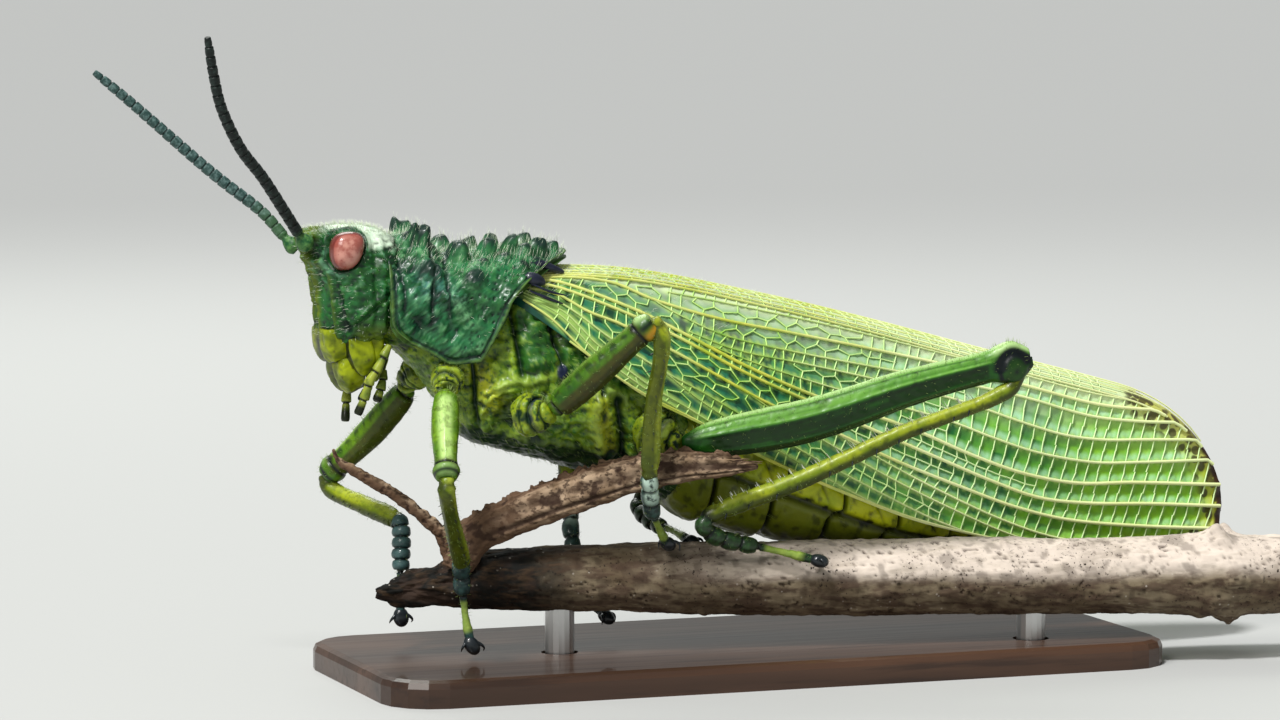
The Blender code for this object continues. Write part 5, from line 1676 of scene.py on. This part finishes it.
def limbFinish(name, deep, bright, stripe, spot, shade):
    paint = Finish(name, Roughness=0.32, Coat_Weight=0.1, Coat_Roughness=0.2)
    fine = paint.grain(1.8, 4)
    cloud = paint.grain(0.5, 3)
    colour = paint.over(
        paint.mix(paint.step(cloud, 0.35, 0.65), deep, bright),
        (paint.step(fine, 0.5, 0.7) * 0.45, tuple(0.4 * c for c in deep)),
        (paint.mask("stripe") * 0.85, stripe),
        # painted shade on the lower side of the limbs, in the shaded side's tint
        (paint.mask("dark") * 0.92, paint.mix(fine, (0.002, 0.012, 0.002), shade)),
        (paint.mask("light") * 0.85, (0.42, 0.62, 0.24)),
        (paint.mask("spot") * 0.9, spot),
        (paint.mask("black"), (0.001, 0.004, 0.005)),
    )
    return paint.done(colour, 0.25 + fine * 0.28, fine, 0.00005, 0.5)


def makeTibia(name, route, finish):
    hind = "hind" in name
    sizes = limbSizes["hind tibia" if hind else "tibia"]
    rows = 180 if hind else 110
    bm, flat, away, along, tilt = limbSurface(f"tibia_{name}", route, sizes, 32, rows, hint=shinHint)
    wrinkle = grainAt(flat, 0.5, 45.0, 3)
    push = 0.035 * wrinkle + 0.05 * (bump(tilt, 0, 14) + bump(tilt, 180, 14)) - 0.04 * bump(along, 0.05,
                                                                                            0.012)
    push += 0.05 * bump(along, 0.965, 0.02) - 0.08 * bump(along, 0.94, 0.01)
    pushOut(bm, flat, away, push)
    # dark: painted shade on the lower side and in the troughs of the wrinkles; the rings by the knee and at
    # the end are the shin's own
    mark(bm, dark=0.8 * bump(along, 0.06, 0.02) + 0.9 * fade(tilt, 84, 116) + fade(along, 0.93, 0.98)
         + 0.4 * fade(-wrinkle, 0.2, 0.5),
         stripe=bump(tilt, 40, 25) * 0.7,
         black=fade(along, 0.96, 0.99),
         light=0 * along,
         spot=0 * along)
    finishPiece(f"tibia_{name}", bm, finish, welded=True)


def makeTarsus(name, route, finish):
    beads = padCount[name]
    shape = {"hint": Vector((0.6, 0.2, 1)), "share": 0.1, "ends": 14.0}
    bm, flat, away, along, tilt = limbSurface(f"tarsus_{name}", route, limbSizes["tarsus"], 24, 160,
                                              **shape)
    padsEnd = 0.54
    inside = (np.clip(along / padsEnd, 0, 1) * beads) % 1.0
    pads = (along < padsEnd) * np.sin(math.pi * inside) ** 0.7
    grooves = (along < 0.56) * (1 - fade(np.minimum(inside, 1 - inside), 0, 0.14)) * fade(along, 0.02, 0.06)
    under = 1.0 if beads > 4 else 0.35 + 0.65 * fade(tilt, 50, 120)
    push = 0.17 * pads * under - 0.1 * grooves * under + 0.035 * grainAt(flat, 0.35, 47.0, 3)
    pushOut(bm, flat, away, push)
    mark(bm, last=within(along, 0.57, 0.62, 0.84, 0.9),
         groove=grooves,
         # pads: painted highlight on each pad's crown
         pads=pads * (1.0 if beads > 4 else 0.35),
         pale=(1 - fade(along, 0.24, 0.36)) * fade(np.abs(away[:, 1]), 0.15, 0.6) * ("middle" in name))
    finishPiece(f"tarsus_{name}", bm, finish, welded=True)


def makeClaws(name, route, finish):
    # a pad and two hooked claws at the tip
    path = smoothPath(route, 40)
    tip, way = path[-1], (path[-1] - path[-4]).normalized()
    side = way.cross(up)
    side = side.normalized() if side.length > 0.4 else Vector((1, 0, 0))
    over = side.cross(way).normalized()
    if over.z < 0:
        over = -over
    bm = bmesh.new()
    bmesh.ops.create_uvsphere(bm, u_segments=24, v_segments=16, radius=1.0)
    bmesh.ops.scale(bm, vec=(0.6, 0.75, 0.5), verts=bm.verts[:])
    turn = Matrix((side, way, over)).transposed().to_4x4()
    bmesh.ops.transform(bm, matrix=Matrix.Translation(tip - way * 0.05) @ turn, verts=bm.verts[:])
    finishPiece(f"pad_{name}", bm, finish)
    lines = []
    for hand in (-1, 1):
        line = []
        for share in (k / 8 for k in range(9)):
            spread = 0.25 + 0.62 * math.sin(share * 1.9)
            spot = tip - way * 0.35 + side * hand * spread + way * (0.75 * share)
            spot += over * (0.34 * math.sin(share * 2.4) - 0.55 * share * share)
            line.append((spot, 0.15 * (1 - share) ** 0.7 + 0.015))
        lines.append(line)
    strands(f"claws_{name}", lines, finish, sides=8)


def tarsusFinish(name, deep, bright, padHighlight):
    paint = Finish(name, Roughness=0.35, Coat_Weight=0.3)
    fine = paint.grain(2.2, 4)
    colour = paint.over(
        paint.mix(paint.step(fine, 0.38, 0.66), deep, bright),
        # painted highlight on each pad's crown
        (paint.mask("pads") * 0.45, padHighlight),
        (paint.mask("pale") * paint.step(fine, 0.3, 0.5), (0.45, 0.6, 0.5)),
        (paint.mask("last") * 0.95, paint.mix(fine, (0.12, 0.22, 0.03), (0.3, 0.38, 0.06))),
        (paint.mask("groove") * 0.9, (0.001, 0.004, 0.004)),
    )
    return paint.done(colour, 0.28 + fine * 0.3, fine, 0.00004, 0.5)


def clawFinish():
    paint = Finish("claw black", Roughness=0.28, Coat_Weight=0.4)
    fine = paint.grain(2.5, 3)
    colour = paint.mix(fine, (0.002, 0.003, 0.004), (0.018, 0.026, 0.032))
    return paint.done(colour, 0.2 + fine * 0.3, fine, 0.00002, 0.4)


def thornLines(route, rows, count, size, lean, seed):
    # short spines along a limb; rows are angles round it, 90 on top
    rng = np.random.default_rng(seed)
    path = smoothPath(route, meshOf["path"])
    ways = frames(path)
    first, last = 0.12, 0.95
    lines = []
    for row in rows:
        for k in range(count):
            share = first + (last - first) * (k + rng.uniform(-0.2, 0.2)) / (count - 1)
            n = int(np.clip(share, 0, 1) * (len(path) - 1))
            side = ways[n].cross(shinHint).normalized()
            over = side.cross(ways[n]).normalized()
            turn = math.radians(row + rng.uniform(-7, 7))
            out = side * math.cos(turn) + over * math.sin(turn)
            foot = path[n] + out * 0.4
            tip = foot + (out + ways[n] * lean).normalized() * size * rng.uniform(0.8, 1.15)
            lines.append([(foot, size * 0.11), (foot.lerp(tip, 0.5), size * 0.075), (tip, size * 0.012)])
    return lines


def makeThorns(dark, pale):
    black, white = [], []
    for seed, (name, leg) in enumerate(legsOf.items()):
        route = leg["tibia"]
        if "hind" in name:
            black += thornLines(route, (215, 325), 11, 0.75, 0.55, seed)
            white += thornLines(route, (60, 120, 80, 100), 22, 0.7, 0.2, seed + 9)
        else:
            black += thornLines(route, (215, 325), 7, 0.55, 0.55, seed)
    strands("leg_spines", black, dark)
    thin = [[(spot, radius * 0.4 + 0.004) for spot, radius in line] for line in white]
    strands("leg_bristles", thin, pale)


def makeLegs():
    coxaPaint = thoraxFinish()
    limb = {pair: limbFinish(*tints) for pair, tints in limbTints.items()}
    claw = clawFinish()
    foot = {pair: tarsusFinish(*tints) for pair, tints in footTints.items()}
    bristle = hairFinish("white bristle", 0.4, (0.62, 0.66, 0.5), (0.85, 0.87, 0.78))
    for name, leg in joinedLegs().items():
        pair = name.split("_")[1]
        makeCoxa(name, leg["coxa"], coxaStout[pair], coxaPaint, leg["femur"][0])
        makeFemur(name, leg["femur"], limb[pair])
        makeTibia(name, leg["tibia"], limb["shin"])
        makeTarsus(name, leg["tarsus"], foot[pair])
        makeClaws(name, leg["tarsus"], claw)
    makeThorns(claw, bristle)
    print("legs made")


twigOf = {
    "ends": (-28.8, 44.5),
    # place along: axis height, radius
    "shape": [(-28.8, (0.0, 0.4)), (-28.0, (0.1, 0.75)), (-26.0, (0.25, 1.3)), (-24.5, (0.4, 1.5)),
              (-23.0, (0.6, 1.75)),
              (-20.5, (0.72, 2.2)), (-16.0, (0.65, 2.42)), (-9.0, (0.55, 2.62)), (4.0, (0.2, 2.75)),
              (18.5, (-0.1, 2.9)),
              (30.0, (-0.3, 2.95)), (35.6, (-0.35, 3.25)), (38.5, (-0.5, 3.05)), (44.5, (-0.55, 3.0))],
    "splinter": [(-23.2, -1.9, 1.6), (-21.6, -2.5, 4.3), (-19.5, -3.5, 5.5), (-16.9, -4.5, 6.7),
                 (-14.0, -5.8, 7.8), (-11.1, -6.9, 8.8), (-7.3, -8.7, 9.5), (-2.4, -10.1, 9.4)],
    "splinterSizes": [(0, (0.9, 1.1)), (0.3, (0.8, 1.4)), (0.6, (0.7, 1.3)), (0.85, (0.45, 0.9)),
                      (1, (0.2, 0.25))],
    "sliverSizes": [(0, (0.5, 0.5)), (0.5, (0.4, 0.46)), (0.85, (0.3, 0.36)), (1, (0.12, 0.14))],
    "sliver": [(-22.7, 0.5, 1.6), (-23.5, 0.45, 4.0), (-24.8, 0.5, 5.3), (-26.6, 0.7, 6.8),
               (-28.1, 0.9, 7.8),
               (-29.9, 1.2, 8.9), (-31.1, 1.5, 9.7), (-31.5, 1.6, 10.6)],
    # place along, angle round in radians, height, width
    "knots": [(35.0, 1.9, 0.75, 0.9), (36.5, 1.2, 0.7, 0.8), (33.9, 4.0, 0.5, 0.9), (36.2, 4.6, 0.55, 0.8),
              (35.4, 3.1, 0.4, 0.8), (18.3, 2.0, 0.35, 0.4), (-4.5, 4.2, 0.3, 0.5), (8.2, 3.5, 0.25, 0.5)],
    "fibreFoot": 0.28,          # how far a torn fibre starts from the splinter's middle line
    "rods": (-15.0, 21.0),
}


def makeTwig(finish):
    start, end = twigOf["ends"]

    def shape(u, v):
        x = start + (end - start) * evenEnds(v, 0.1)
        axis, radius = easeMany(twigOf["shape"], x)
        close = roundEnds(v, 70.0) * radius
        angle = u * 2 * math.pi
        across = np.array([0.15, 0.989, 0])
        middle = np.stack([x, -4 - 0.152 * x, axis], 1)
        return middle + across * (np.cos(angle) * close)[:, None] + np.array([0, 0, 1]) * (np.sin(angle)
                                                                                           * close)[:, None]
    bm, uv, _, flat, away = closedSkin(110, 520, shape)
    x = flat[:, 0]
    angle = uv[:, 0] * 2 * math.pi
    longFine = grainAt(flat * np.array([0.22, 1.0, 1.0]), 0.8, 51.0, 4)
    longBig = grainAt(flat * np.array([0.3, 1.0, 1.0]), 2.6, 52.0, 2)
    lumps = grainAt(flat, 1.1, 53.0, 3)
    torn = 1 - fade(x, -24.5, -20.5)
    crack = bump(longFine, 0.0, 0.055) * fade(lumps, -0.1, 0.3)
    knot = np.zeros(len(flat))
    for spot, turn, height, width in twigOf["knots"]:
        around = np.minimum(np.abs(angle - turn), 2 * math.pi - np.abs(angle - turn)) * 3.0
        knot = np.maximum(knot, height * np.exp(-((x - spot) ** 2 + around ** 2) / width ** 2))
    push = 0.16 * longBig + 0.10 * longFine + 0.08 * lumps - 0.22 * crack + knot * (1 + 0.5 * lumps)
    push += torn * (0.35 * longFine + 0.2 * longBig - 0.1)
    push = np.clip(push, -0.7, 0.9)
    # the rods' holes stay clear below
    below = fade(-np.sin(angle), 0.7, 0.95)
    for rod in twigOf["rods"]:
        push *= 1 - below * bump(x, rod, 1.6)
    pushOut(bm, flat, away, push)
    # dark: painted shade in the cracks, the torn fibres and the hollows between the lumps; the knots are the
    # twig's own darker wood
    mark(bm, dark=crack + torn * fade(-longFine, -0.1, 0.25) + 0.5 * fade(-lumps, 0.2, 0.5) + 0.4 * knot,
         # top: painted light on the upper side, towards the right
         top=fade(np.sin(angle) + 0.12 * longBig, -0.12, 0.3) * fade(x, -12, 5),
         # torn: the broken end's own dark wood, with painted shade beside the splinter
         torn=1 - fade(x + 1.5 * lumps, -18.5, -12.5))
    finishPiece("perch_twig", bm, finish, welded=True)


def barkFinish():
    paint = Finish("bark", Roughness=0.8)
    fine = paint.grain(1.6, 5, (0.25, 1, 1))
    cloud = paint.grain(0.22, 4)
    specks = paint.cells(1.5)
    # painted light: the upper side is paler, with fewer dark streaks
    litTop = paint.mask("top") * (0.55 + 0.45 * paint.step(cloud + fine, 0.75, 1.1))
    streaks = paint.step(fine, 0.42, 0.6) * (0.75 - paint.mask("top") * 0.6)
    flecks = paint.step(paint.grain(4.5, 3), 0.6, 0.68) * paint.step(cloud, 0.6, 0.42)
    colour = paint.over(
        paint.mix(paint.step(cloud, 0.35, 0.65), (0.1, 0.07, 0.04), (0.21, 0.165, 0.105)),
        (litTop, (0.72, 0.62, 0.53)),
        (streaks, (0.06, 0.034, 0.022)),
        (flecks, (0.012, 0.007, 0.005)),
        # the broken end's own dark wood, with painted shade beside the splinter
        (paint.mask("torn"),
         paint.mix(paint.step(fine, 0.45, 0.75), (0.003, 0.003, 0.002), (0.07, 0.04, 0.02))),
        (paint.step(specks, 0.16, 0.08) * paint.step(cloud, 0.45, 0.6) * 0.5, (0.55, 0.5, 0.43)),
        # painted shade in cracks and hollows, and darker knots
        (paint.mask("dark") * 0.85, (0.03, 0.016, 0.01)),
    )
    return paint.done(colour, 0.7 + fine * 0.25, fine, 0.0001, 0.7)


def splinterFinish():
    paint = Finish("torn wood", Roughness=0.8)
    fine = paint.grain(2.0, 5, (0.2, 1, 0.6))
    cloud = paint.grain(0.5, 3)
    colour = paint.over(
        paint.mix(paint.step(cloud, 0.35, 0.65), (0.2, 0.13, 0.075), (0.5, 0.36, 0.24)),
        (paint.step(fine, 0.42, 0.62) * 0.8, (0.05, 0.025, 0.012)),
        (paint.step(paint.grain(4.5, 4, (0.4, 1, 0.8)), 0.52, 0.62) * 0.8, (0.03, 0.015, 0.008)),
        (paint.mask("bark") * 0.9, paint.mix(fine, (0.05, 0.025, 0.015), (0.16, 0.09, 0.05))),
        # painted shade in grooves and hollows
        (paint.mask("dark") * 0.9, (0.03, 0.014, 0.008)),
    )
    return paint.done(colour, 0.75 + fine * 0.2, fine, 0.0001, 0.7)


def makeSplinter(finish, rng):
    route, sizes = twigOf["splinter"], twigOf["splinterSizes"]
    bm, flat, away, along, tilt = limbSurface("splinter", route, sizes, 90, 260, ends=10.0, share=0.15,
                                              power=2.4)
    fibre = np.zeros(len(flat))
    angle = np.arctan2(away[:, 2], away[:, 1])
    for _ in range(26):
        centre = rng.uniform(-math.pi, math.pi)
        drift = rng.uniform(-0.6, 0.6)
        where = (angle - centre - drift * along + math.pi) % (2 * math.pi) - math.pi
        fibre += rng.uniform(-0.22, 0.2) * np.exp(-(where / rng.uniform(0.08, 0.22)) ** 2)
    rough = grainAt(flat * np.array([0.5, 1.0, 0.8]), 0.7, 61.0, 4)
    edge = (1 - fade(tilt, 25, 50))
    ragged = edge * np.maximum(grainAt(flat, 0.6, 62.0, 3), 0) * 0.55
    push = np.clip(fibre + 0.13 * rough + ragged, -0.45, 0.6) * fade(1 - along, 0.0, 0.1)
    pushOut(bm, flat, away, push)
    mark(bm, bark=edge * 0.9 + fade(0.45 - along, 0, 0.3) * 0.85 + fade(tilt, 150, 170),
         # dark: painted shade in the grooves between the fibres and in the hollows
         dark=fade(-fibre, 0.03, 0.16) + fade(-rough, 0.25, 0.5))
    finishPiece("perch_splinter", bm, finish, welded=True)


def makeSliver(finish):
    shape = {"hint": Vector((0.7, 0, 1)), "share": 0.1, "ends": 10.0}
    sizes = twigOf["sliverSizes"]
    bm, flat, away, _, tilt = limbSurface("sliver", twigOf["sliver"], sizes, 40, 180, **shape)
    rough = grainAt(flat, 0.5, 63.0, 3)
    pushOut(bm, flat, away, 0.1 * rough)
    # dark: painted shade in the hollows
    mark(bm, bark=fade(tilt, 60, 100), dark=fade(-rough, 0.2, 0.5))
    finishPiece("perch_sliver", bm, finish, welded=True)


def makeFibres(finish, rng):
    # torn fibres at the splinter's tip and along its ragged edge
    lines = []
    path = smoothPath(twigOf["splinter"], 60)
    for k in range(46):
        share = rng.uniform(0.55, 0.97) if k < 30 else rng.uniform(0.02, 0.5)
        n = int(share * 59)
        away = Vector((rng.uniform(-0.3, 0.3), rng.uniform(-0.5, 0.5), rng.uniform(0.2, 1.0))).normalized()
        start = path[n] + away * twigOf["fibreFoot"]
        ahead = (path[min(n + 3, 59)] - path[max(n - 3, 0)]).normalized()
        tip = start + ahead * rng.uniform(0.8, 2.2) + away * rng.uniform(0.0, 0.5)
        lines.append([(start, 0.09), (start.lerp(tip, 0.5) + away * 0.1, 0.06), (tip, 0.015)])
    strands("perch_fibres", lines, finish)


def makeStandLook():
    wood = Finish("stand wood", Roughness=0.38, Coat_Weight=0.3)
    ring = wood.grain(0.12, 5, (0.08, 1, 1))
    fine = wood.grain(1.4, 4, (0.06, 1, 1))
    colour = wood.mix(wood.step(ring, 0.35, 0.65), (0.035, 0.017, 0.010), (0.085, 0.042, 0.024))
    colour = wood.mix(wood.step(fine, 0.5, 0.7) * 0.6, colour, (0.018, 0.009, 0.006))
    dressNode("stand_base", wood.done(colour, 0.32 + fine * 0.2, fine, 0.00003, 0.4))
    steel = Finish("brushed steel", Metallic=1.0, Roughness=0.3)
    brushed = steel.grain(2.5, 4, (1, 1, 0.05))
    colour = steel.mix(brushed, (0.5, 0.5, 0.5), (0.72, 0.72, 0.71))
    polished = steel.done(colour, 0.22 + brushed * 0.22, brushed, 0.00001, 0.3)
    for name in ("stand_rod_front", "stand_rod_rear"):
        dressNode(name, polished)


def dressNode(name, finish):
    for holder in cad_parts[name].material_slots:
        holder.material = finish


def makePerch():
    makeTwig(barkFinish())
    torn = splinterFinish()
    rng = np.random.default_rng(3)
    makeSplinter(torn, rng)
    makeSliver(torn)
    makeFibres(torn, rng)
    makeStandLook()
    print("twig made")


# fine pale hairs over the skin; each stands on its own spot of the unwrapped skin
coatOf = {
    "head": {"skins": ["head"], "count": 1500, "length": 0.5, "rise": 1.3, "lie": (-0.35, 0, 0.1),
             "least": 0.12,
             "facing": (0.3, 0.9), "tone": "pale", "seed": 1},
    "pronotum": {"skins": ["pronotum"], "count": 1500, "length": 0.75, "rise": 1.5, "lie": (0.15, 0, 0.1),
                 "least": 0.04,
                 "facing": (0.45, 0.9), "tone": "pale", "seed": 2},
    "thorax": {"skins": ["thorax"], "count": 1800, "length": 0.5, "rise": 0.7, "lie": (0.6, 0, -0.25),
               "least": 1.0,
               "open": (20, 14.6, -20), "tone": "green", "seed": 3},
    "forewing": {"skins": ["wing_left", "wing_right"], "count": 2600, "length": 0.7, "rise": 1.2,
                 "lie": (0.5, 0, 0),
                 "least": 0.0, "ahead": (-9.0, 14.0), "facing": (0.55, 0.95), "tone": "pale", "seed": 4},
    "femur": {"skins": [f"{part}_{leg}" for part in ("femur", "coxa") for leg in legsOf], "count": 4600,
              "length": 0.42, "rise": 1.1, "lie": (0, 0, 0.25), "least": 0.15, "facing": (0.3, 0.9),
              "tone": "green",
              "seed": 5},
    "tibia": {"skins": [f"{part}_{leg}" for part in ("tibia", "tarsus") for leg in legsOf], "count": 2800,
              "length": 0.36, "rise": 1.0, "lie": (0, 0, 0.1), "least": 0.4, "tone": "green", "seed": 6},
    "abdomen": {"skins": ["abdomen"], "count": 1200, "length": 0.4, "rise": 0.6, "lie": (0.8, 0, 0),
                "least": 1.0,
                "tone": "green", "seed": 7},
}
downOf = {"pale": ((0.5, 0.6, 0.4), (0.85, 0.9, 0.75)), "green": ((0.16, 0.26, 0.05), (0.4, 0.52, 0.18))}
hairOf = {"radius": 0.014, "patch": 0.003, "sunk": 0.06}


def addHair(bm, layer, root, way, droop, length, mark):
    # three sides, a bend halfway and a point; its patch on the unwrap is as wide as hairOf says
    side = way.orthogonal().normalized()
    over = way.cross(side)
    rings = []
    for share, thick in ((0.0, 1.0), (0.5, 0.7)):
        centre = root + way * (length * share) + droop * (share * share)
        turns = [math.radians(120 * k) for k in range(3)]
        rings.append([bm.verts.new(centre + (side * math.cos(t) + over * math.sin(t))
                                   * (hairOf["radius"] * thick))
                      for t in turns])
    tip = bm.verts.new(root + way * length + droop)
    low, high = rings
    heights = {vert: (k, share) for share, ring in ((-0.5, low), (0.1, high)) for k,
               vert in enumerate(ring)}
    heights[tip] = (1, 0.5)
    faces = [(low[2], low[1], low[0])]
    for k in range(3):
        after = (k + 1) % 3
        faces += [(low[k], low[after], high[after], high[k]), (high[k], high[after], tip)]
    for corners in faces:
        for loop in bm.faces.new(corners).loops:
            k, share = heights[loop.vert]
            loop[layer].uv = (mark[0] + (k / 2 - 0.5) * hairOf["patch"], mark[1] + share * hairOf["patch"])


def makeCoat(part, coat, finish):
    rng = np.random.default_rng(coat["seed"])
    bm = bmesh.new()
    layer = bm.loops.layers.uv.new("OFBake")
    lie = Vector(coat["lie"])
    tiles = len(coat["skins"])
    sizes = [skins[name][3].sum() for name in coat["skins"]]
    for tile, name in enumerate(coat["skins"]):
        spots, away, uv, area = skins[name]
        weight = area * (coat["least"]
                         + (1 - coat["least"]) * fade(away[:, 2], *(coat.get("facing", (0.15, 0.8)))))
        if "ahead" in coat:
            weight = weight * (1 - fade(spots[:, 0], *coat["ahead"])) ** 2
        if "open" in coat:
            # none under the wings and the pronotum
            top, wing, lobe = coat["open"]
            weight = weight * ((spots[:, 2] < top) & ((spots[:, 2] < wing) | (spots[:, 0] > lobe)))
        count = int(coat["count"] * (1 / tiles if "wing" in name else sizes[tile] / sum(sizes)))
        for n in rng.choice(len(spots), count, p=weight / weight.sum()):
            out = Vector(away[n])
            loose = Vector(rng.normal(0, 0.28, 3))
            way = (out * coat["rise"] + lie + loose).normalized()
            across = Vector(rng.normal(0, 0.1, 3))
            root = Vector(spots[n]) + across - out * (across.dot(out) + hairOf["sunk"])
            length = coat["length"] * rng.uniform(0.55, 1.25)
            spot = ((tile + 0.02 + 0.96 * uv[n][0]) / tiles, 0.01 + 0.98 * uv[n][1])
            addHair(bm, layer, root, way, (lie - up * 0.2) * (0.3 * length), length, spot)
    finishPiece(f"hairs_{part}", bm, finish)


def makeCoats():
    down = {tone: hairFinish(f"{tone} hair", 0.45, *tints) for tone, tints in downOf.items()}
    for part, coat in coatOf.items():
        makeCoat(part, coat, down[coat["tone"]])
    print("coat made")


setCamera()
setLights()
setFloor()
makeWings()
makeFace()
makePronotum(pronotumFinish())
makeTrunk()
makeLegs()
makePerch()
makeCoats()
